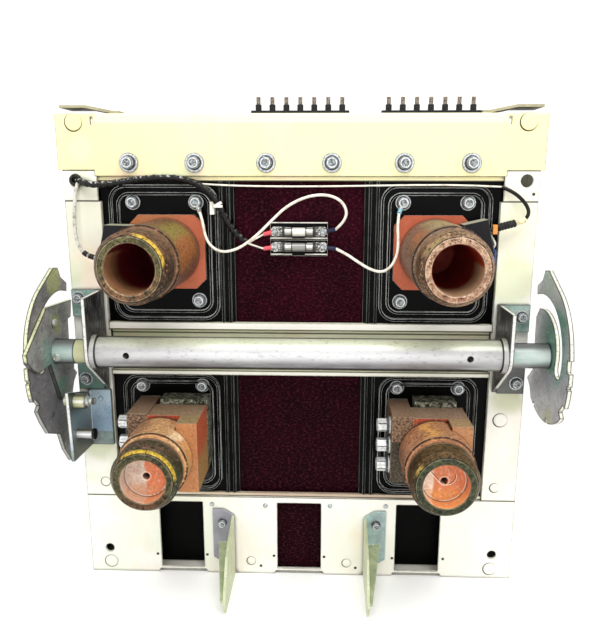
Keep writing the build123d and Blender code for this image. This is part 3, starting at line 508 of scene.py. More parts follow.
cream_wire = insulation("cream_wire", (240, 236, 222), (196, 180, 160), 0.42)
grey_wire = insulation("grey_wire", (205, 202, 192), (120, 118, 108), 0.45)
black_tube = insulation("black_tube", (14, 14, 15), (44, 44, 42), 0.34)
left_fuse_route = [(0.0445, -0.203, 0.47), (0.054, -0.21, 0.4788), (0.0581, -0.214, 0.4925),
                   (0.049, -0.216, 0.5065), (0.0301, -0.216, 0.5122), (0.0078, -0.214, 0.5087),
                   (-0.0137, -0.213, 0.4981), (-0.0292, -0.213, 0.4839), (-0.045, -0.2135, 0.468),
                   (-0.0609, -0.214, 0.4545), (-0.0771, -0.212, 0.4453), (-0.0942, -0.21, 0.4422),
                   (-0.1074, -0.209, 0.45), (-0.1136, -0.209, 0.4632), (-0.1153, -0.209, 0.4788),
                   (-0.1192, -0.207, 0.4905)]
right_fuse_route = [(0.0455, -0.203, 0.4464), (0.0572, -0.21, 0.4415), (0.0716, -0.214, 0.432),
                    (0.0873, -0.216, 0.4227), (0.1018, -0.216, 0.4198), (0.1125, -0.214, 0.4274),
                    (0.1188, -0.212, 0.4417), (0.1196, -0.21, 0.4582), (0.118, -0.2085, 0.4759),
                    (0.1197, -0.207, 0.4895)]
lip_route = [(-0.1279, -0.1996, 0.5242), (-0.0945, -0.1995, 0.5218), (-0.0345, -0.1996, 0.5206),
             (0.0253, -0.1995, 0.5207), (0.0847, -0.1996, 0.5216), (0.1438, -0.1997, 0.5226),
             (0.2027, -0.2004, 0.5224), (0.2401, -0.202, 0.5206)]
right_sensor_route = [(0.2401, -0.2026, 0.5206), (0.2505, -0.2055, 0.516), (0.2605, -0.208, 0.5089),
                      (0.2688, -0.21, 0.4995), (0.272, -0.211, 0.49), (0.267, -0.212, 0.4823),
                      (0.2555, -0.213, 0.4786), (0.2435, -0.214, 0.4758), (0.2335, -0.214, 0.4727),
                      (0.2262, -0.214, 0.471)]
left_sensor_route = [(-0.266, -0.2028, 0.5256), (-0.269, -0.206, 0.515), (-0.2698, -0.208, 0.503),
                     (-0.2706, -0.2095, 0.49), (-0.2713, -0.21, 0.4765), (-0.271, -0.2105, 0.463),
                     (-0.268, -0.2115, 0.45), (-0.261, -0.213, 0.4405), (-0.25, -0.213, 0.4354),
                     (-0.2405, -0.213, 0.4343)]
wire("left_fuse_lead", left_fuse_route, 0.0017, cream_wire)
wire("right_fuse_lead", right_fuse_route, 0.0017, cream_wire)
wire("lip_wire", lip_route, 0.0011, cream_wire)
wire("right_sensor_lead", right_sensor_route, 0.0022, black_tube)
wire("left_sensor_lead", left_sensor_route, 0.0022, grey_wire)

# Harness: several leads in a black spiral wrap, from the left gusset under the rail and down
# to the fuse base. Each turn of the wrap is a low ridge round the bundle.

harness_route = [(-0.2746, -0.194, 0.529), (-0.2586, -0.2095, 0.5246), (-0.2399, -0.21, 0.5218),
                 (-0.2192, -0.209, 0.5244), (-0.1973, -0.209, 0.528), (-0.1756, -0.209, 0.5303),
                 (-0.1528, -0.209, 0.531), (-0.1314, -0.209, 0.528), (-0.1138, -0.209, 0.5199),
                 (-0.101, -0.209, 0.5083), (-0.0935, -0.208, 0.4942), (-0.0861, -0.207, 0.4788),
                 (-0.0756, -0.206, 0.4633), (-0.0624, -0.205, 0.453)]
wrap_radius, wrap_pitch, wrap_ridge = 0.0036, 0.0078, 0.0005


def line_points(name, points, count):
    """Evenly spaced points along a route's free curve, and their distance from its start."""
    line = free_line(name, points)
    mesh = bpy.data.meshes.new_from_object(line)
    curve = np.empty(len(mesh.vertices) * 3)
    mesh.vertices.foreach_get("co", curve)
    curve = curve.reshape(-1, 3)
    bpy.data.meshes.remove(mesh)
    bpy.data.objects.remove(line)
    run = np.concatenate([[0.0], np.cumsum(np.linalg.norm(np.diff(curve, axis=0), axis=1))])
    want = np.linspace(0.0, run[-1], count)
    return np.stack([np.interp(want, run, curve[:, i]) for i in range(3)], -1), want


def sleeve_surface(spine, radius):
    """Tube about a line of points: radius[u, v] out from point u, square to the line, at angle v."""
    ahead = np.gradient(spine, axis=0)
    ahead = ahead / np.linalg.norm(ahead, axis=1, keepdims=True)
    side = np.cross(ahead, np.array([0.0, 1.0, 0.0]))
    side = side / np.linalg.norm(side, axis=1, keepdims=True)
    top = np.cross(side, ahead)
    angle = np.linspace(0, 2 * math.pi, radius.shape[1], endpoint=False)
    spoke = side[:, None] * np.cos(angle)[None, :, None] + top[:, None] * np.sin(angle)[None, :, None]
    points = spine[:, None] + radius[..., None] * spoke
    return np.concatenate([spine[None, :1].repeat(radius.shape[1], 1), points,
                           spine[None, -1:].repeat(radius.shape[1], 1)])


def wrap_finish():
    """Black plastic, pale where the ridges catch the light on top, most of all to the left."""
    black = Finish("spiral_wrap", Specular_IOR_Level=0.3, Roughness=0.34)
    # Painted highlights on the tops of the ridges.
    painted_sheen = black.attribute("ridge").step(0.7, 1.0) * black.grain(260.0, 3.0).step(0.46, 0.6)
    painted_sheen = painted_sheen * black.xyz()[0].step(-0.125, -0.145, 0.15, 0.7) * black.facing("Z").step(0.1, 0.5)
    return black.feed(black.lay((12, 12, 13), (painted_sheen, (206, 204, 196))))


harness_spine, harness_run = line_points("harness_line", harness_route, 420)
wrap_turn = (harness_run[:, None] / wrap_pitch + np.linspace(0, 1, 20, endpoint=False)[None]) % 1.0
wrap_height = wrap_radius + wrap_ridge * np.clip(6.0 * np.abs(wrap_turn - 0.5) - 0.6, -0.8, 1.0)
harness_mesh = grid_mesh("harness_wrap", sleeve_surface(harness_spine, wrap_height))
ridge = np.concatenate([wrap_height[:1], wrap_height, wrap_height[-1:]]) - wrap_radius + wrap_ridge
harness_mesh.attributes.new("ridge", "FLOAT", "POINT").data.foreach_set(
    "value", (ridge / (2 * wrap_ridge)).astype(np.float32).ravel())
harness_wrap = place("harness_wrap", harness_mesh, wrap_finish())
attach(harness_wrap, "frame")
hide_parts("harness")

# Black insulation: moulded barriers, boards and pole housings, the fuse base and the sensors.
# Outer faces are glossy and dusty, and pale painted highlights run along the rib edges and over the
# sensors' tops. The arc chutes and the mechanism housing wear the same finish in greys.


def black_moulding(name, tone, edge, edge_tone=(238, 242, 238), rough=0.28, top=0.0, faint_within=0.0):
    """Near-black moulding with painted highlights on its edges and top, and dust; the edge highlights are
    fainter near the middle.
    """
    black = Finish(name, Specular_IOR_Level=0.06)
    # Painted highlights along the edges.
    painted_sheen = black.crease(0.001, 0.09) * black.grain(60.0, 4.0).step(0.3, 0.52, 0.35, 1.0)
    if faint_within:
        painted_sheen = painted_sheen * abs(black.xyz()[0]).step(faint_within - 0.0005, faint_within + 0.0005, 0.3, 1.0)
    dust = black.grain(16.0, 5.0).step(0.56, 0.8)
    colour = black.lay(tone, (dust * 0.3, (30, 30, 24)),
                       ((painted_sheen * edge).most(black.facing("Z").step(0.5, 0.8) * top), edge_tone))
    return black.feed(colour, rough + dust * 0.25, black.grain(700.0), 0.00008, soft=0.0013)


wear(black_moulding("barrier_black", (3, 3, 3), 1.0, faint_within=0.0965), "right_pole_barrier",
     "left_pole_barrier")
wear(black_moulding("board_black", (3, 3, 3), 0.15, rough=0.5), "lower_boards", "pole_housings")
wear(black_moulding("fuse_base_black", (8, 8, 8), 1.0, (244, 242, 230)), "fuse_base")
wear(black_moulding("sensor_grey", (40, 40, 42), 0.5, (176, 174, 152), 0.45, 0.9), "sensors")
wear(black_moulding("chute_grey", (92, 86, 74), 0.3, (150, 144, 130), 0.6), "arc_chutes")
wear(black_moulding("mechanism_grey", (96, 98, 98), 0.2, (150, 152, 150), 0.5), "mechanism_housing")

# Centre board: dark maroon laminate, redder towards the top, with fine pink flecks.


def maroon_laminate():
    """Laminate: two maroons by height, dark clouds and flecks."""
    board = Finish("maroon_laminate", Roughness=0.6, Specular_IOR_Level=0.04)
    fleck = board.grain(420.0, 5.0, 0.8, stretch=(0.6, 1.0, 1.0)).step(0.5, 0.62)
    cloud = board.grain(30.0, 4.0).step(0.35, 0.7)
    tone = board.lay((28, 3, 10), (board.xyz()[2].step(0.1, 0.45), (42, 5, 19)), (cloud * 0.6, (12, 4, 7)),
                     (fleck * 0.45, (100, 44, 62)))
    return board.feed(tone, bump=board.grain(600.0), strength=1.0)


wear(maroon_laminate(), "centre_board")

# Round contacts: copper, turned, then tarnished in rings by heat and grease. Each zone along
# the axis has its own tones: flange or clamp, barrel, groove, collar, rim, hollow. Over them lie
# painted light and shade: shade in the grooves and at the barrel's foot, a sheen on the chamfer's
# upper side, highlight and shade lines at the rim's edges, and a lit and a shaded side in the hollow.

pole_x, upper_z, lower_z = 0.1645, 0.4408, 0.207
groove_from, groove_to, collar_end, contact_tip = -0.308, -0.316, -0.338, -0.3474
degrees_per_radian = 57.2958


def shifted(tone, times, plus=0.0):
    """A tone made lighter or darker."""
    return tuple(min(value * times + plus, 255) for value in tone)


def tarnished_contact(name, x, z, longer, base, barrel, patches, collar, arc, rim, inside):
    """Copper by zones. Bearings are in degrees round the axis: 0 towards the middle, 90 is up.
    base: tone, second tone and its bearings, streaks, depth where the barrel starts.
    barrel: tone, streaks. patches: tone, bearings, near and far depth.
    collar: tone, blots, streaks, (shaded tone, its bearings). arc: yellow tone of the painted sheen, its
    bearings.
    rim: tone, blots, lower tone, height of the change, specks, tone of the painted highlight lines.
    inside: painted lit and shaded tones, bearing of the light, its limit, radius, deep tone, painted black
    shade on the far side."""
    copper = Finish(name, Specular_IOR_Level=0.25)
    side, depth, rise = copper.xyz()
    side, rise = (side - x) * -math.copysign(1.0, x), rise - z
    radius = (side * side + rise * rise) ** 0.5
    bearing = copper.node("ShaderNodeMath", {0: rise, 1: side}, operation="ARCTAN2") * degrees_per_radian
    cloud = copper.grain(45.0, 4.0)
    blot = copper.grain(180.0, 5.0, 0.7).step(0.44, 0.58)
    speck = copper.grain(300.0, 4.0, 0.7).step(0.53, 0.6)
    fleck = copper.grain(260.0, 4.0, 0.7, where=copper.along((0.31, 0.17, 0.23))).step(0.56, 0.63)
    streak = copper.grain(120.0, 5.0, 0.7, stretch=(0.4, 3.0, 0.4)).step(0.46, 0.62)
    turned_to = bearing + (cloud - 0.5) * 70.0

    def sector(first, last, soft=9.0):
        """1 between two bearings, with ragged ends."""
        return turned_to.step(first - soft, first + soft) * turned_to.step(last - soft, last + soft, 1.0, 0.0)

    def past(limit, soft=0.0003):
        """1 in front of a depth."""
        return depth.step(limit + soft, limit - soft)

    tip, collar_front = contact_tip - longer, collar_end - longer
    colour = copper.lay(base[0], (sector(base[2], base[3], 25.0), base[1]), (streak * 0.3, base[4]))
    barrel_tone = copper.lay(barrel[0], (streak * 0.8, barrel[1]))
    for tone, first, last, near, far in patches:
        reach = past(near, 0.008) * depth.step(far - 0.008, far + 0.008)
        barrel_tone = copper.lay(barrel_tone, (sector(first, last, 11.0) * reach * 0.9, tone))
    score = depth.near(-0.3035, 0.0007).most(depth.near(-0.2985, 0.0005))
    score = score.most(depth.near(-0.2925, 0.0006) * 0.6)
    # Painted shade: a dark ring at the barrel's foot, where it meets the flange or block.
    foot = depth.step(base[5] - 0.0022, base[5] - 0.0008)
    barrel_tone = copper.lay(barrel_tone, (speck * 0.6, shifted(barrel[1], 0.45)),
                             (fleck * 0.5, shifted(barrel[0], 1.45)), (score * streak * 0.75, (36, 24, 16)),
                             (foot * (0.9 - fleck * 0.4), (44, 28, 20)))
    shaded, shade_first, shade_last = collar[3]
    collar_tone = copper.lay(collar[0], (blot, collar[1]), (streak * 0.4, collar[2]),
                             (sector(shade_first, shade_last, 14.0) * (0.85 - fleck * 0.4), shaded),
                             (speck * 0.8, (28, 22, 14)), (fleck * 0.6, shifted(collar[0], 1.5)))
    # Painted sheen: a yellow band on the chamfer's upper side.
    painted_sheen = sector(arc[1], arc[2]) * past(collar_front - 0.0042, 0.0012) * (1.0 - speck * 0.8)
    sheen_tone = copper.lay(arc[0], (blot, shifted(arc[0], 0.82)))
    bore = inside[4]
    # Painted highlight lines and painted shade lines along the rim's outer and inner edges.
    bright = radius.near(0.0327, 0.0007).most(radius.near(bore + 0.001, 0.0006)) * (1.0 - blot * 0.6)
    outline = radius.near(0.0336, 0.0009).most(radius.near(bore, 0.0007))
    rim_tone = copper.lay(rim[0], (rise.step(rim[3], rim[3] - 0.018), rim[2]), (blot * 0.8, rim[1]),
                          (speck * 0.85, rim[4]), (fleck * 0.4, shifted(rim[0], 1.25, 16)),
                          (bright * 0.4, rim[5]), (outline * (0.9 - fleck * 0.4), (24, 14, 8)))
    # Painted shade in the grooves, and painted highlight lines on the ridges beside them.
    grooves = depth.near(groove_from, 0.0011).most(depth.near(groove_to, 0.0012))
    grooves = grooves.most(depth.near(collar_front, 0.0006) * 0.7) * past(-0.3)
    ridge = depth.near(groove_to - 0.0022, 0.0007).most(depth.near(groove_from + 0.002, 0.0005))
    hollow = radius.step(bore + 0.0006, bore + 0.0001) * depth.step(tip + 0.0008, tip + 0.0014)
    lit_to = math.radians(inside[2])
    lean = (side * math.cos(lit_to) + rise * math.sin(lit_to)) / radius + (cloud - 0.5) * 0.3
    deep = (depth + (cloud - 0.5) * 0.02).step(tip + 0.036, tip + 0.054)
    # Painted light in the hollow: a lit side, a shaded side, and painted black shade on the far side.
    inside_tone = copper.lay(inside[1], (lean.step(inside[3] - 0.08, inside[3] + 0.08), inside[0]),
                             (streak * 0.45, shifted(inside[0], 0.6)), (deep * 0.9, inside[5]),
                             (side.step(0.009, 0.021) * deep * inside[6], (12, 4, 8)))
    colour = copper.lay(colour, (past(-0.198) * radius.step(0.044, 0.0425), barrel_tone),
                        (past(groove_to), collar_tone), (painted_sheen * 0.9, sheen_tone),
                        (past(tip + 0.0013, 0.0002), rim_tone),
                        (grooves * (0.92 - fleck * 0.5), (30, 21, 14)),
                        (ridge * past(-0.3) * 0.55, (214, 184, 160)), (hollow, inside_tone))
    return copper, colour, (side, depth, rise, radius, cloud, hollow, blot, speck, fleck)


def finish_contact(copper, colour, marks):
    """Painted shade in the corners, roughness, metal share and relief of a tarnished contact."""
    blot, speck, fleck = marks[-3:]
    colour = copper.lay(colour, (copper.seam(0.005) * 0.85, (22, 14, 10)))
    return copper.feed(colour, 0.42 + speck * 0.2, blot * 0.6 + speck - fleck * 0.5, 0.00022, 0.6, 0.0008,
                       Metallic=0.22 - blot * 0.12)


left_upper = tarnished_contact(
    "left_upper_copper", -pole_x, upper_z, 0.005,
    ((190, 104, 77), (176, 110, 74), 60, 200, (142, 92, 58), -0.197), ((130, 98, 74), (108, 78, 56)),
    [((146, 136, 70), 28, 70, -0.215, -0.3), ((176, 110, 64), -8, 34, -0.215, -0.303),
     ((116, 78, 68), -80, -14, -0.2, -0.305)],
    ((116, 86, 64), (54, 44, 34), (136, 100, 80), ((38, 32, 28), -75, 4)), ((234, 192, 76), 2, 82),
    ((98, 92, 60), (48, 46, 30), (132, 94, 68), 0.0, (22, 18, 12), (206, 196, 160)),
    ((164, 118, 84), (88, 12, 28), 222, 0.2, 0.026, (140, 6, 46), 0.95))
right_upper = tarnished_contact(
    "right_upper_copper", pole_x, upper_z, 0.0,
    ((193, 104, 76), (180, 92, 66), 50, 140, (158, 78, 60), -0.197), ((134, 110, 92), (108, 86, 70)),
    # The first barrel patch, pale on top, is a painted highlight.
    [((172, 152, 114), 62, 110, -0.215, -0.3), ((170, 110, 72), 20, 56, -0.255, -0.306),
     ((144, 108, 92), -70, 14, -0.2, -0.3)],
    ((150, 120, 94), (98, 74, 54), (172, 142, 110), ((84, 60, 42), -70, 26)), ((156, 138, 92), 30, 64),
    ((188, 156, 128), (122, 84, 64), (170, 132, 106), -0.01, (66, 28, 22), (236, 216, 194)),
    ((174, 140, 108), (150, 50, 30), 246, 0.28, 0.026, (146, 30, 26), 0.0))
wear(finish_contact(*left_upper), "left_upper_terminal")
wear(finish_contact(*right_upper), "right_upper_terminal")

# Lower contacts: the same turned end on a clamp block. Their shallow faces are pale on one
# side and copper red on the other, and the stub behind the block is grey with old tin.


def lower_contact(name, x, barrel, patches, collar, arc, rim, block, face_tones, pale_from, scratched):
    """A tarnished contact on a copper clamp block; its face changes tone at a side, pale_from.
    block: top, flank, shade, top of the cheek, cut and front. face_tones: pale, warm and low."""
    pale, warm, low = face_tones
    top, flank, shade, cheek_top, cut, front = block
    copper, colour, marks = tarnished_contact(
        name, x, lower_z, 0.0, (flank, flank, 0, 90, shade, -0.26), barrel, patches, collar, arc, rim,
        (warm, warm, 90, 0.3, 0.025, warm, 0.0))
    side, depth, rise, radius, cloud, hollow, blot, speck, fleck = marks
    block_front = copper.lay(front, (depth.step(-0.2606, -0.26), cut))
    block_top = copper.lay(top, (depth.step(-0.2582, -0.2588), cheek_top))
    # The pale creases on the block are painted highlights along its edges.
    block_tone = copper.lay(flank, ((rise + cloud * 0.02).step(0.022, -0.006), shade),
                            (copper.facing("Y").step(-0.5, -0.8), block_front),
                            (copper.facing("Z").step(0.5, 0.8), block_top), (speck * 0.35, (90, 54, 38)),
                            (fleck * 0.25, (226, 190, 150)), (copper.crease(0.0009) * 0.5, (228, 206, 176)))
    in_block = depth.step(-0.2845, -0.2842) * radius.step(0.0416, 0.042).most(depth.step(-0.2584, -0.2578))
    tin = copper.lay((46, 48, 38), (blot, (140, 140, 118)), (fleck * 0.8, (206, 206, 194)),
                     (speck * 0.9, (12, 12, 10)))
    toward_pale = side * math.copysign(1.0, pale_from) + (cloud - 0.5) * 0.012
    limit = abs(pale_from)
    face = copper.lay(warm, (toward_pale.step(limit - 0.001, limit + 0.001), pale),
                      (rise.step(-0.005, -0.016) * 0.6, low), (blot * 0.25, shifted(warm, 0.84)),
                      (fleck * 0.25, (250, 236, 220)), (speck * 0.25, (150, 92, 66)))
    if scratched:
        hook = ((side + 0.0032) * (side + 0.0032) + (rise - 0.005) * (rise - 0.005)) ** 0.5
        bent = rise.step(0.0085, 0.008) * (side * -1.0 - rise).step(-0.003, -0.002)
        run, across = side * -0.657 - rise * 0.756, rise * 0.657 - side * 0.756
        straight = run.step(-0.0208, -0.02) * run.step(-0.0006, -0.0014)
        gleam = (hook.near(0.0097, 0.0005) * bent).most(across.near(-0.0052, 0.0005) * straight)
        groove = (hook.near(0.0087, 0.0006) * bent).most(across.near(-0.0041, 0.0006) * straight)
        face = copper.lay(face, (gleam * 0.7, (255, 240, 220)), (groove * 0.9, (52, 30, 22)))
    # Painted highlight rings round the small hole and the recess's edge.
    face = copper.lay(face, (radius.near(0.0052, 0.0006) * 0.5, (250, 240, 228)),
                      (radius.near(0.0236, 0.0008) * (1.0 - speck), (240, 230, 216)))
    # The small hole is painted near black as shade.
    colour = copper.lay(colour, (in_block, block_tone), (depth.step(-0.2194, -0.2191), tin), (hollow, face),
                        (radius.step(0.0034, 0.003) * depth.step(-0.3, -0.31), (14, 12, 12)))
    return finish_contact(copper, colour, marks)


left_lower = lower_contact(
    "left_lower_copper", -pole_x, ((210, 160, 114), (180, 126, 82)),
    # The first barrel patch, pale on the upper side towards the middle, is a painted highlight.
    [((255, 230, 186), 34, 62, -0.262, -0.306), ((220, 158, 98), -10, 28, -0.262, -0.306),
     ((156, 112, 84), 100, 190, -0.262, -0.306)],
    ((106, 82, 68), (60, 58, 40), (50, 68, 40), ((46, 58, 34), -46, 30)), ((222, 184, 66), 8, 128),
    ((82, 76, 50), (36, 38, 22), (98, 66, 46), -0.01, (12, 12, 8), (170, 160, 128)),
    ((150, 124, 100), (196, 96, 66), (172, 132, 84), (152, 130, 92), (172, 72, 50), (180, 122, 80)),
    ((208, 190, 174), (216, 128, 88), (204, 148, 108)), -0.0001, False)
right_lower = lower_contact(
    "right_lower_copper", pole_x, ((178, 126, 92), (146, 98, 70)),
    # The second barrel patch, pale on top, is a painted highlight.
    [((184, 134, 98), 100, 190, -0.262, -0.306), ((224, 166, 92), 66, 86, -0.262, -0.306),
     ((120, 78, 60), -60, 22, -0.262, -0.306)],
    ((92, 72, 46), (54, 46, 28), (124, 96, 54), ((60, 44, 26), -60, 50)), ((190, 162, 84), 20, 46),
    ((72, 74, 52), (30, 36, 24), (60, 60, 40), -0.01, (10, 12, 8), (150, 150, 122)),
    ((152, 126, 106), (176, 122, 84), (160, 108, 74), (170, 140, 104), (166, 74, 52), (180, 130, 92)),
    ((238, 220, 202), (216, 130, 90), (224, 160, 90)), 0.0125, True)
wear(left_lower, "left_lower_terminal")
wear(right_lower, "right_lower_terminal")

# Bus bars: copper with flaking brown tarnish, bright specks, and a greener lower half.


def bus_bar_copper():
    """Flaked tarnish, paler on the top face, with painted highlights along the edges."""
    copper = Finish("bus_bar_copper", Metallic=0.3)
    flake = copper.grain(330.0, 6.0, 0.75).step(0.42, 0.6)
    speck = copper.grain(800.0, 3.0).step(0.64, 0.72)
    tone = copper.lay((146, 114, 88), (flake, (62, 46, 36)),
                      (copper.facing("Z").step(0.5, 0.8) * 0.85, (154, 124, 102)),
                      (copper.xyz()[2].step(0.2205, 0.2195) * 0.75, (36, 40, 26)),
                      (speck * 0.6, (220, 214, 196)),
                      # Painted highlights along the edges.
                      (copper.crease(0.0009) * (0.8 - flake * 0.5), (228, 214, 184)))
    return copper.feed(tone, 0.45 + flake * 0.2, flake, 0.0003, 0.5, 0.0008)


wear(bus_bar_copper(), "left_bus_bar", "right_bus_bar")

# Racking tube: bright plated tube with end rings, and stub shafts that heat has tinted teal.


def racking_tube_zinc():
    """Plate tinted olive on its upper side, painted shade below and where the surface turns away, and darker
    at its ends; teal stubs past the brackets, painted lighter across the middle and darker on top and below,
    a cream bush on the left one, and painted shade lines where parts meet."""
    zinc = Finish("tube_zinc", Metallic=0.15, Roughness=0.3)
    side, up = zinc.xyz()[0], zinc.facing("Z")
    out = abs(side)
    speck = zinc.grain(340.0, 4.0, 0.7, stretch=(0.4, 1.0, 1.0)).step(0.54, 0.66)
    cloud = zinc.grain(60.0, 4.0, stretch=(0.25, 1.0, 1.0)).step(0.35, 0.7)
    # The stubs' darker top and underside are painted shade round a lighter middle.
    stub = zinc.lay((150, 176, 168), (cloud, (196, 208, 204)), (up.step(0.3, 0.9), (104, 106, 104)),
                    (up.step(-0.1, -0.9), (100, 94, 98)))
    bush = side.step(-0.2655, -0.265) * side.step(-0.25, -0.2495, 1.0, 0.0)
    # Painted shade lines where parts meet.
    lines = side.near(-0.2662, 0.0009, 0.0004).most(out.near(0.295, 0.0016, 0.0006))
    lines = lines.most(out.near(0.2385, 0.0009, 0.0003))
    # Painted shade where the surface turns away from the view.
    turned = zinc.node("ShaderNodeLayerWeight", {"Blend": 0.5}, out="Facing")
    # The dark tone on downward faces is painted shade.
    tone = zinc.lay((206, 206, 208), (up.step(0.3, 0.8), (198, 204, 174)),
                    (up.step(0.05, -0.55), (120, 120, 124)), (out.step(0.17, 0.245) * 0.5, (132, 132, 130)),
                    (speck * 0.4, (104, 102, 102)),
                    (cloud * 0.25, (238, 238, 236)), (out.step(0.25, 0.252), stub), (bush, (190, 192, 150)),
                    (lines * 0.9, (26, 28, 26)), (turned.step(0.52, 0.7) * 0.9, (40, 38, 36)))
    return zinc.feed(tone, soft=0.0008)


wear(racking_tube_zinc(), "racking_tube")

# Cams and lever: thick steel plate, zinc plated and passivated, clouded from olive to violet
# grey, with teal where it was welded, and pale cut edges that are partly a painted highlight, with painted
# shade lines along the rims and creases.


def passivated(name, plate, face_tones, edge_tones, patches, split_at=0.0):
    """Plated plate between two x: clouded faces with tinted patches (centre, reach, tone, share),
    and cut edges that change tone at a height, pale above as partly a painted highlight and darker below as
    painted shade, with painted shade lines at the faces' rims and along the creases."""
    zinc = Finish(name, Metallic=0.2)
    cloud = zinc.grain(38.0, 5.0).step(0.36, 0.66)
    speck = zinc.grain(300.0, 4.0, 0.7).step(0.53, 0.63)
    scratch = zinc.grain(150.0, 5.0, 0.7, stretch=(1.0, 0.5, 2.0)).step(0.58, 0.66)
    side, _, rise = zinc.xyz()
    tinted = [((zinc.distance(centre) + (cloud - 0.5) * 0.02).step(reach, reach * 0.35) * share, tone)
              for centre, reach, tone, share in patches]
    # Painted shade lines where the faces meet the cut edges.
    rims = side.near(plate[0], 0.0011, 0.0005).most(side.near(plate[1], 0.0011, 0.0005))
    # Cut edges above the height take the pale tone, partly a painted highlight; below it the darker tone is
    # painted shade.
    above = (rise + (cloud - 0.5) * 0.01).step(split_at - 0.002, split_at + 0.002)
    edge = zinc.lay(edge_tones[1], (above, edge_tones[0]), (speck * 0.7, shifted(edge_tones[0], 0.55)),
                    (rims * (0.9 - speck * 0.3), (24, 24, 20)))
    # The creases' dark lines are painted shade.
    colour = zinc.lay(face_tones[0], (cloud, face_tones[1]), *tinted, (speck * 0.4, (60, 60, 62)),
                      (scratch * 0.35, (218, 218, 216)), (abs(zinc.facing("X")).step(0.6, 0.3), edge),
                      (zinc.crease(0.003, 0.05) * 0.8, (28, 28, 24)))
    return zinc.feed(colour, 0.42 + speck * 0.15, speck, soft=0.0007)


teal, olive = (92, 146, 126), (166, 172, 112)
right_cam = passivated(
    "right_cam_zinc", (0.296, 0.301), ((200, 202, 208), (166, 168, 176)), ((240, 240, 222), (226, 226, 204)),
    [((0.296, -0.262, 0.345), 0.062, teal, 0.95), ((0.296, -0.225, 0.41), 0.03, teal, 0.35),
     ((0.296, -0.26, 0.25), 0.018, olive, 0.6)])
left_cam = passivated(
    "left_cam_zinc", (-0.296, -0.301), ((142, 140, 144), (112, 110, 114)), ((222, 226, 190), (160, 160, 156)),
    [((-0.296, -0.225, 0.41), 0.036, olive, 0.9), ((-0.296, -0.285, 0.335), 0.022, olive, 0.6),
     ((-0.296, -0.3, 0.262), 0.03, (98, 94, 92), 0.5)], 0.292)
lever = passivated(
    "lever_zinc", (-0.291, -0.296), ((164, 164, 162), (130, 130, 128)), ((214, 218, 172), (72, 72, 72)),
    [((-0.292, -0.262, 0.322), 0.03, teal, 0.6), ((-0.292, -0.235, 0.28), 0.018, teal, 0.7),
     ((-0.29, -0.24, 0.362), 0.014, olive, 0.9)], 0.334)
wear(right_cam, "right_racking_cam")
wear(left_cam, "left_racking_cam")
wear(lever, "racking_lever")

# Pin head on the lever and screw head on the left stub shaft: both turn with the shaft.

fit("lever_trim", [turned_ring([(0.004, 0.0), (0.004, 0.0028), (0.0034, 0.0034), (1e-5, 0.0034)],
                               (-0.2902, -0.249, 0.3625), (1, 0, 0), 24),
                   turned_ring([(0.0044, 0.0), (0.0044, 0.0016), (0.0036, 0.0022), (0.0022, 0.0022),
                                (0.0018, 0.0014), (1e-5, 0.0014)], (-0.2855, -0.259, 0.3222), outward, 24)],
    bright_zinc("lever_trim_zinc", (0.8, 0.81, 0.7), (0.66, 0.7, 0.66)), "racking_shaft")

# Bearing brackets: the tabs screwed to the posts are tinted teal and grey, the long plates are
# nearly black inside, and their front edges are bright.


def bracket_zinc():
    """Streaked dark plates, grey past them, clouded tabs, and bright edges between painted shade lines, with
    painted shade along the creases.
    """
    zinc = Finish("bracket_zinc", Metallic=0.2)
    side, depth, rise = zinc.xyz()
    out = abs(side)
    cloud = zinc.grain(60.0, 4.0).step(0.35, 0.65)
    speck = zinc.grain(320.0, 4.0, 0.7).step(0.52, 0.62)
    streak = zinc.grain(200.0, 4.0, 0.7, stretch=(2.0, 2.0, 0.2)).step(0.5, 0.6)
    upper = zinc.lay((126, 160, 148), (cloud, (172, 192, 186)))
    tab = zinc.lay((104, 136, 124), (side.step(-0.1, 0.1), (104, 106, 104)), (rise.step(0.318, 0.33), upper))
    on_tab = abs(zinc.facing("Y")).step(0.4, 0.7) * depth.step(-0.2125, -0.211)
    on_edge = abs(zinc.facing("X")).step(0.6, 0.3) * depth.step(-0.211, -0.2125)
    # Painted shade lines beside the bright edges.
    lines = out.near(0.245, 0.0011, 0.0005).most(out.near(0.25, 0.0011, 0.0005))
    edge = zinc.lay((228, 228, 222), (lines * 0.8, (30, 30, 30)))
    # Dark creases are painted shade along the edges.
    tone = zinc.lay((24, 24, 26), (streak * 0.85, (128, 128, 128)),
                    (out.step(0.2545, 0.256), (150, 150, 148)),
                    (on_tab, tab), (on_edge, edge), (speck * 0.35, (84, 86, 84)),
                    (zinc.crease(0.0024, 0.08) * 0.8, (24, 24, 24)))
    return zinc.feed(tone, 0.38 + speck * 0.2, speck, soft=0.0007)


wear(bracket_zinc(), "left_bearing_bracket", "right_bearing_bracket")

# Interlock angle: its leg on the post is steel blue, paler at the top and grey at the foot, with
# a dimple painted with a shaded ring and a lit spot; its flange is green grey, and the flange's front edge is
# bright.


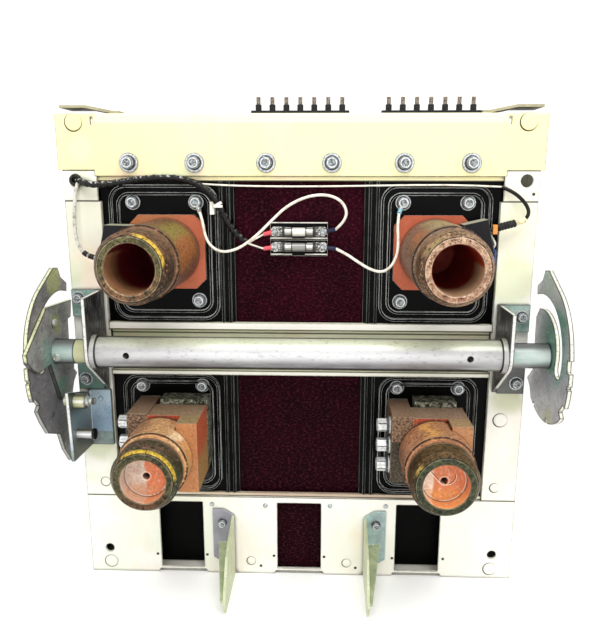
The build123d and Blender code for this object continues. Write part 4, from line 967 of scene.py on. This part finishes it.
def interlock_zinc():
    """Leg and flange in their own tones, told apart by the way they face."""
    zinc = Finish("interlock_zinc", Metallic=0.2)
    side, depth, rise = zinc.xyz()
    cloud = zinc.grain(50.0, 4.0).step(0.35, 0.65)
    speck = zinc.grain(320.0, 4.0, 0.7).step(0.53, 0.63)
    turned = abs(zinc.facing("X"))
    foot = rise.step(0.2075, 0.206)
    dimple_side, dimple_rise = side + 0.2566, rise - 0.2519
    dimple = (dimple_side * dimple_side + dimple_rise * dimple_rise) ** 0.5
    leg = zinc.lay((142, 168, 190), ((rise + cloud * 0.012).step(0.226, 0.262), (186, 208, 222)),
                   (foot, zinc.lay((112, 114, 116), (cloud, (128, 156, 148)))),
                   (side.near(-0.2702, 0.0011, 0.0004) * (1.0 - foot), (238, 244, 248)),
                   # Painted shade in the dimple and a painted highlight low in it.
                   (dimple.step(0.004, 0.0032) * 0.75, (104, 136, 164)),
                   ((dimple + dimple_rise * 0.4).step(0.0022, 0.0014) * 0.8, (214, 230, 240)))
    flange = zinc.lay((96, 100, 98), (rise.step(0.205, 0.24), (122, 140, 144)),
                      (rise.step(0.24, 0.262), (62, 74, 68)))
    # Dark creases are painted shade along the edges.
    tone = zinc.lay(leg, (turned.step(0.4, 0.7), flange),
                    (depth.step(-0.266, -0.268) * turned.step(0.6, 0.3), (232, 234, 230)),
                    (speck * 0.25, (78, 88, 96)), (zinc.crease(0.0022, 0.08) * 0.8, (26, 28, 30)))
    return zinc.feed(tone, 0.36 + speck * 0.2, soft=0.0007)


wear(interlock_zinc(), "interlock_bracket")

# Roller and pin of the interlock: turned steel painted with light and shade, darker on top, with a
# highlight band just above the middle and shade below, an olive cast on the roller and a black ring at the
# pin's end.


def stud_zinc():
    """The roller is above the pin; turn runs from -1 below to 1 on top of each."""
    zinc = Finish("stud_zinc", Metallic=0.25, Roughness=0.3)
    side, _, rise = zinc.xyz()
    turn = (rise - rise.step(0.24, 0.246, 0.222, 0.2645)) / rise.step(0.24, 0.246, 0.006, 0.0095)
    pin_end = side.step(-0.2525, -0.2515) * rise.step(0.246, 0.24)
    # Painted light: darker on top, a highlight band just above the middle, shade below, and dark creases.
    tone = zinc.lay((186, 186, 188), (rise.step(0.24, 0.246), (186, 186, 150)),
                    (turn.step(0.55, 0.95), (84, 82, 62)), (turn.step(-0.3, -0.85), (62, 60, 52)),
                    (turn.near(0.25, 0.28, 0.08) * 0.8, (248, 248, 240)), (pin_end, (14, 14, 14)),
                    (zinc.crease(0.001, 0.1) * 0.8, (22, 22, 18)))
    return zinc.feed(tone, soft=0.0006)


wear(stud_zinc(), "interlock_studs")

# Shutter ramps: zinc plated plate, violet grey on the left foot and teal grey on the right one,
# with a pale olive fin and a sage brace.


def ramp_zinc():
    """Foot by side, and in front of it the fin or, further out, the brace."""
    zinc = Finish("ramp_zinc", Metallic=0.25)
    side, depth, _ = zinc.xyz()
    cloud = zinc.grain(70.0, 5.0).step(0.38, 0.64)
    speck = zinc.grain(420.0, 4.0, 0.7).step(0.5, 0.66)
    brace = zinc.lay((160, 174, 138), (cloud, (190, 200, 160)))
    fin = zinc.lay((190, 198, 158), (cloud, (206, 212, 176)), (abs(side).step(0.0898, 0.0902), brace))
    # The pale creases are painted highlights along the edges.
    tone = zinc.lay((150, 150, 160), (side.step(-0.01, 0.01), (160, 188, 184)),
                    (cloud * 0.5, (126, 124, 130)),
                    (depth.step(-0.2034, -0.2038), fin), (speck * 0.3, (110, 116, 100)),
                    (zinc.crease(0.001) * 0.7, (240, 242, 232)))
    return zinc.feed(tone, 0.4 + speck * 0.15, speck, soft=0.0007)


wear(ramp_zinc(), "shutter_ramps")

# Secondary contacts and lifting ears: black moulded feet with grey brown metal tips, and dull
# plated ears painted cream on top as lit and dark underneath as shade.


def pin_moulding():
    """Black below a height and rubbed metal above it."""
    pins = Finish("pin_moulding", Specular_IOR_Level=0.3)
    cloud = pins.grain(600.0, 3.0).step(0.4, 0.65)
    tip = pins.lay((146, 134, 120), (cloud, (66, 58, 50)))
    # Dark creases are painted shade along the edges.
    tone = pins.lay((18, 18, 18), (cloud, (40, 40, 38)), (pins.xyz()[2].step(0.6148, 0.6152), tip),
                    (pins.crease(0.001, 0.08) * 0.8, (22, 20, 18)))
    return pins.feed(tone, 0.4 + cloud * 0.1)


def ear_plate():
    """Painted shade on the underside and painted light on the cream top."""
    plate = Finish("ear_plate", Metallic=0.1)
    cloud = plate.grain(120.0, 4.0).step(0.4, 0.7)
    # Painted light by facing: cream on top, dark underneath.
    tone = plate.lay((70, 62, 50), (plate.facing("Z").step(-0.3, 0.3), (226, 220, 176)),
                     (cloud * 0.4, (120, 108, 86)))
    return plate.feed(tone, 0.45 + cloud * 0.2)


wear(pin_moulding(), "pin_strips")
wear(ear_plate(), "lifting_ears")

# Fuses and ring terminals: the upper fuse is white ceramic and the lower one glass, both in
# plated clips, and the rings are tinned, with a red, a dark blue or a pale blue sleeve.


def fuse_and_clip():
    """Fuse body in the middle of each row, clips beyond it, painted shade in the gaps between their leaves,
    on the clips' lower halves and along the creases.
    """
    fuse = Finish("fuse_and_clip", Metallic=0.3)
    side, _, rise = fuse.xyz()
    out = abs(side)
    speck = fuse.grain(900.0, 3.0).step(0.45, 0.7)
    off = rise - rise.step(0.457, 0.458, 0.44825, 0.46675)
    # Painted shade in the gaps between the leaves and rows, and black mottling on the terminals.
    gap_shade = out.near(0.0188, 0.0024, 0.0016).most(out.near(0.0086, 0.001, 0.0005))
    gap_shade = gap_shade.most(out.step(0.0205, 0.0212) * fuse.grain(420.0).step(0.46, 0.54))
    gap_shade = gap_shade.most(off.near(0.004, 0.0008, 0.0004) * 0.9).most(off.near(-0.0036, 0.0008, 0.0004) * 0.9)
    # The clips are pale on their upper half as painted light and grey below as painted shade.
    clip = fuse.lay((226, 226, 218), (speck, (96, 94, 90)),
                    (off.step(0.0002, -0.0006) * 0.7, (112, 110, 104)),
                    (gap_shade * 0.92, (14, 14, 14)))
    # Dark creases are painted shade.
    tone = fuse.lay((140, 140, 136), (rise.step(0.457, 0.458), (226, 222, 210)),
                    (out.step(0.006, 0.0075) * speck * 0.8, (60, 60, 58)), (out.step(0.0078, 0.008), clip),
                    (fuse.crease(0.0014, 0.08) * 0.85, (16, 16, 16)))
    return fuse.feed(tone, 0.3 + speck * 0.15)


def ring_and_sleeve():
    """Tinned rings; sleeves at the fuse terminals by side, and a crimp under the right barrier bolt."""
    lug = Finish("ring_and_sleeve", Metallic=0.2, Specular_IOR_Level=0.4)
    side, _, rise = lug.xyz()
    cloud = lug.grain(520.0, 4.0, 0.7).step(0.44, 0.56)
    sleeve = lug.lay((230, 92, 100), (side.step(-0.01, 0.01), (34, 38, 60)))
    on_sleeve = abs(side).step(0.0335, 0.0339) * abs(side).step(0.0602, 0.06)
    # Painted shade in the corners.
    tone = lug.lay((226, 224, 218), (cloud, (40, 40, 38)),
                   (rise.step(0.495, 0.4945) * side.step(0.09, 0.1), (140, 190, 204)), (on_sleeve, sleeve),
                   (lug.seam(0.004, 6) * 0.8, (24, 18, 20)))
    return lug.feed(tone, 0.3 + cloud * 0.2)


wear(fuse_and_clip(), "fuse_links")
wear(ring_and_sleeve(), "lead_lugs")
wear(cream_wire, "harness_tails")

# Barrier bolts: hexagon heads on plain washers at the corners of each contact seat. Two of them
# also hold the fuse leads' rings; the lowest two are in shade, and their black finish is painted shade.

barrier_face = -0.193
seat_screws, dark_screws = [], []
for number, (x, z, out) in enumerate((
        (-0.2035, 0.5015, 0.0), (-0.1255, 0.5015, 0.002), (-0.1255, 0.3801, 0.0), (0.1255, 0.5015, 0.002),
        (0.2035, 0.5015, 0.0), (0.1255, 0.3801, 0.0), (-0.2035, 0.2677, 0.0), (-0.1255, 0.2677, 0.0),
        (0.1255, 0.2677, 0.0), (0.2035, 0.2677, 0.0))):
    seat_screws += screw_set((x, barrier_face - out, z), outward, 18.5, 12.6, 0.55 * number, 1.6, 1.2, 5.5)
for x in (-0.1255, 0.1255):
    dark_screws += screw_set((x, barrier_face, 0.1463), outward, 18.5, 12.6, 0.3, 1.6, 1.2, 5.5)
fit("seat_bolts", seat_screws, screw_zinc)
fit("dark_seat_bolts", dark_screws, black_tube)

# Bus bar screws: three long bright hexagon heads and washers on the left flank of each bus bar.

bar_screws = []
for left_face in (-0.2067, 0.1145):
    for number, z in enumerate((0.233, 0.207, 0.181)):
        bar_screws += screw_set((left_face, -0.235, z), (-1, 0, 0), 21.0, 15.5, 0.4 * number, 2.2, 2.6, 12.0)
white_zinc = bright_zinc("white_zinc", (0.92, 0.92, 0.9), (0.84, 0.86, 0.87), 0.42, (0.4, 0.41, 0.4))
fit("bar_nuts", bar_screws, white_zinc)

# Bolts of the brackets and of the shutter ramps, and the nut and thread on the roller's stud.

fixing_screws = []
for number, (x, y, z, washer, head) in enumerate((
        (-0.273, -0.205, 0.279, 18.0, 11.0), (0.273, -0.205, 0.279, 18.0, 11.0),
        (-0.275, -0.205, 0.384, 17.0, 11.0), (0.274, -0.205, 0.364, 17.0, 11.0),
        (-0.103, -0.203, 0.078, 12.5, 9.5), (0.103, -0.203, 0.078, 12.5, 9.5))):
    fixing_screws += screw_set((x, y, z), outward, washer, head, 0.7 * number + 0.2, 1.4, 1.4, 4.5)
thread = [(radius, 0.0012 * turn + rise) for turn in range(6)
          for radius, rise in ((0.0034, 0.0), (0.0042, 0.0006))]
fixing_screws.append(turned_ring([(1e-5, 0.0), *thread, (0.0034, 0.0072), (1e-5, 0.0074)],
                                 (-0.2535, -0.25, 0.2645), (1, 0, 0), 24))
fixing_screws.append(hexagon_head((-0.258, -0.25, 0.2645), (1, 0, 0), 0.011, 0.0045, 0.3))
fit("fixings", fixing_screws, screw_zinc)

# Plugs: flat round covers pressed into the spare holes of rail, posts and chassis, painted with
# the frame. A thin dark ring set off to the lower left is a painted shadow round each of them, and
# small open holes are shown by dark discs of painted shade.

plugs, painted_shadows = [], []
for x, z, width in ((-0.2675, 0.595, 20.0), (0.2675, 0.595, 20.0), (-0.2586, 0.1337, 12.2),
                    (0.2585, 0.2277, 17.7), (0.2572, 0.1332, 12.2), (-0.2583, 0.0152, 17.1),
                    (0.2582, 0.0142, 17.1), (-0.065, 0.0195, 11.6), (0.0647, 0.0186, 11.6)):
    rim = width / 2000
    plugs.append(turned_ring([(rim, 0.0), (rim, 0.0007), (rim - 0.0007, 0.0011), (rim * 0.5, 0.0013),
                              (1e-5, 0.0013)], (x, contact_plane, z), outward, 40))
    # Painted shadow: a dark disc a little wider than the plug, set off to the lower left.
    painted_shadows.append(turned_ring([(rim + 0.0007, 0.0), (rim + 0.0007, 0.0002), (1e-5, 0.0002)],
                            (x - 0.0005, contact_plane, z - 0.0005), outward, 40))
# Painted shade: small dark discs where holes are open.
for x, z in ((-0.1938, 0.0269), (-0.1256, 0.0271), (-0.0342, 0.0271), (-0.0522, 0.0116), (0.034, 0.0269),
             (0.0768, 0.0111), (0.126, 0.0269), (0.1946, 0.0272), (0.2788, 0.5121)):
    painted_shadows.append(turned_ring([(0.0019, 0.0), (0.0019, 0.0002), (1e-5, 0.0002)], (x, contact_plane, z),
                            outward, 20))
fit("rail_plugs", plugs[:2], rail_paint, sharp=40)
fit("plugs", plugs[2:], body_paint, sharp=40)
fit("plug_painted_shadows", painted_shadows, insulation("painted_shadow_dark", (52, 46, 34), (84, 74, 54), 0.7), sharp=40)

# Chassis screws: four small pan heads under the sill.

pan_profile = [(0.0031, 0.0), (0.0031, 0.0006), (0.0024, 0.0016), (0.0012, 0.0021), (1e-5, 0.0022)]
fit("pan_screws", [turned_ring(pan_profile, (x, contact_plane, z), outward, 24)
                   for x, z in ((-0.117, 0.1027), (-0.0451, 0.102), (0.0414, 0.1028), (0.1156, 0.1038))],
    screw_zinc, sharp=0)

# Weld beads: short rough white seams between each ramp's foot and its brace.


def bead(start, end, radius, count=40, sides=12):
    """Uneven rod from start to end: the radius swells as 1 + 0.25 sin 9t + 0.15 sin 23t, for t from
    0 to pi, and is pinched at the ends."""
    along = np.linspace(0.0, 1.0, count)
    spine = np.array(start)[None] * (1 - along[:, None]) + np.array(end)[None] * along[:, None]
    lumps = 1 + 0.25 * np.sin(9 * along * math.pi) + 0.15 * np.sin(23 * along * math.pi)
    thick = radius * lumps * np.clip(6 * np.minimum(along, 1 - along) + 0.2, 0.0, 1.0)
    return sleeve_surface(spine, np.repeat(thick[:, None], sides, 1))


fit("ramp_welds", [bead((side * 0.0895, -0.2036, 0.0485), (side * 0.1095, -0.2036, 0.048), 0.0016)
                   for side in (-1, 1)],
    bright_zinc("weld_white", (0.86, 0.88, 0.84), (0.7, 0.74, 0.7), 0.5), sharp=0)

# Fuse block trim: screws in the terminals, and pale lips below the rows and above the upper one.

fuse_screws = []
for x in (-0.029, 0.029):
    for z in (0.46675, 0.44825):
        fuse_screws.append(turned_ring([(0.0037, 0.0), (0.0037, 0.0008), (0.0028, 0.0018), (1e-5, 0.0022)],
                                       (x, -0.2005, z), outward, 24))
        fuse_screws.append(hexagon_head((x, -0.2018, z), outward, 0.0048, 0.002, 0.4, 36))
fit("fuse_screws", fuse_screws, screw_zinc)


def bar_surface(x0, x1, y, z, deep, tall):
    """Closed square bar along x, as rings of four corners."""
    ring = np.array([(0.0, -tall / 2), (-deep, -tall / 2), (-deep, tall / 2), (0.0, tall / 2)])
    rows = [np.c_[np.full(4, x), ring[:, 0] + y, ring[:, 1] + z] for x in (x0, x0, x1, x1)]
    rows[0][:, 1:] = rows[3][:, 1:] = (y - deep / 2, z)
    return np.array(rows)


lip_white = insulation("lip_white", (250, 248, 236), (190, 186, 170), 0.35)
fit("fuse_lips", [bar_surface(x0, x1, -0.197, z, 0.005, 0.0008) for z in (0.4592, 0.4395)
                  for x0, x1 in ((-0.0345, -0.0085), (0.0075, 0.0345))]
    + [bar_surface(-0.0345, 0.0345, -0.197, 0.4775, 0.0022, 0.0009)], lip_white, sharp=40)

# Cable tie: a white mount on the left barrier, its band round the harness and its cut tail.

tie_at = int(np.argmin(np.linalg.norm(harness_spine - np.array([-0.0965, -0.2085, 0.5]), axis=1)))
tie_ahead = harness_spine[tie_at + 3] - harness_spine[tie_at - 3]
tie_ahead = tie_ahead / np.linalg.norm(tie_ahead)
tie_band = [(0.004, -0.0016), (0.0049, -0.0016), (0.0049, 0.0016), (0.004, 0.0016), (0.004, -0.0016)]
fit("cable_tie", [turned_ring(tie_band, harness_spine[tie_at], tie_ahead, 36),
                  bar_surface(-0.1068, -0.1015, -0.1931, 0.495, 0.014, 0.015),
                  bar_surface(-0.101, -0.0905, -0.212, 0.4975, 0.0014, 0.0028)],
    lip_white, sharp=40)

# Sleeves on the sensor leads: black shrink bands on the left one; on the right one a cream
# plug, a black wrapped length and an orange tab, with white and blue wires beside the sensor.


def sleeve(name, spine, radius, material, slot):
    """Tube of one mesh about a line of points."""
    made = place(name, grid_mesh(name, sleeve_surface(spine, radius)), material)
    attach(made, "frame")


def sleeve_on(name, route, first, last, radius, material, ridges=0.0, slot="black_sleeve"):
    """Sleeve over the part of a route between two distances from its start, with ridges along it."""
    spine, run = line_points(name + "_line", route, 240)
    keep = (run >= first) & (run <= last)
    thick = radius + ridges * np.abs(np.sin((run[keep] - first) / (last - first) * math.pi * 6))
    sleeve(name, spine[keep], np.repeat(thick[:, None], 16, 1), material, slot)


plug_cream = insulation("plug_cream", (236, 226, 186), (150, 136, 96), 0.4)
orange_tab = insulation("orange_tab", (226, 150, 78), (150, 86, 40), 0.45)
blue_wire = insulation("blue_wire", (52, 104, 176), (26, 50, 90), 0.4)
sleeve_on("left_band_1", left_sensor_route, 0.087, 0.093, 0.0033, black_tube)
sleeve_on("left_band_2", left_sensor_route, 0.0945, 0.1015, 0.0029, black_tube, 0.0005)
sleeve_on("right_plug", right_sensor_route, 0.0535, 0.0665, 0.0031, plug_cream, 0.0004, "cream_insulation")
sleeve_on("right_wrap", right_sensor_route, 0.0665, 0.088, 0.004, black_tube, 0.0007)
fit("right_tab", [bar_surface(0.2295, 0.235, -0.2095, 0.4715, 0.007, 0.011)], orange_tab,
    sharp=40)
for name, route, skin in (
        ("sensor_wire_white", [(0.23, -0.204, 0.464), (0.234, -0.21, 0.457), (0.2352, -0.209, 0.451),
                               (0.2325, -0.202, 0.446)], lip_white),
        ("sensor_wire_blue", [(0.233, -0.203, 0.45), (0.2372, -0.209, 0.444), (0.234, -0.211, 0.438),
                              (0.2372, -0.209, 0.432), (0.2345, -0.201, 0.425)], blue_wire)):
    spine, _ = line_points(name + "_line", route, 60)
    sleeve(name, spine, np.full((60, 12), 0.0013), skin, "cream_insulation")

# Grommet: a black rubber ring in the left gusset's hole, round the harness.

grommet_profile = [(0.0052 + 0.0022 * math.cos(turn), 0.0022 * math.sin(turn))
                   for turn in np.linspace(0, 2 * math.pi, 13)]
fit("grommet", [turned_ring(grommet_profile, (-0.27, -0.2008, 0.5275), outward)], black_tube,
    sharp=0)
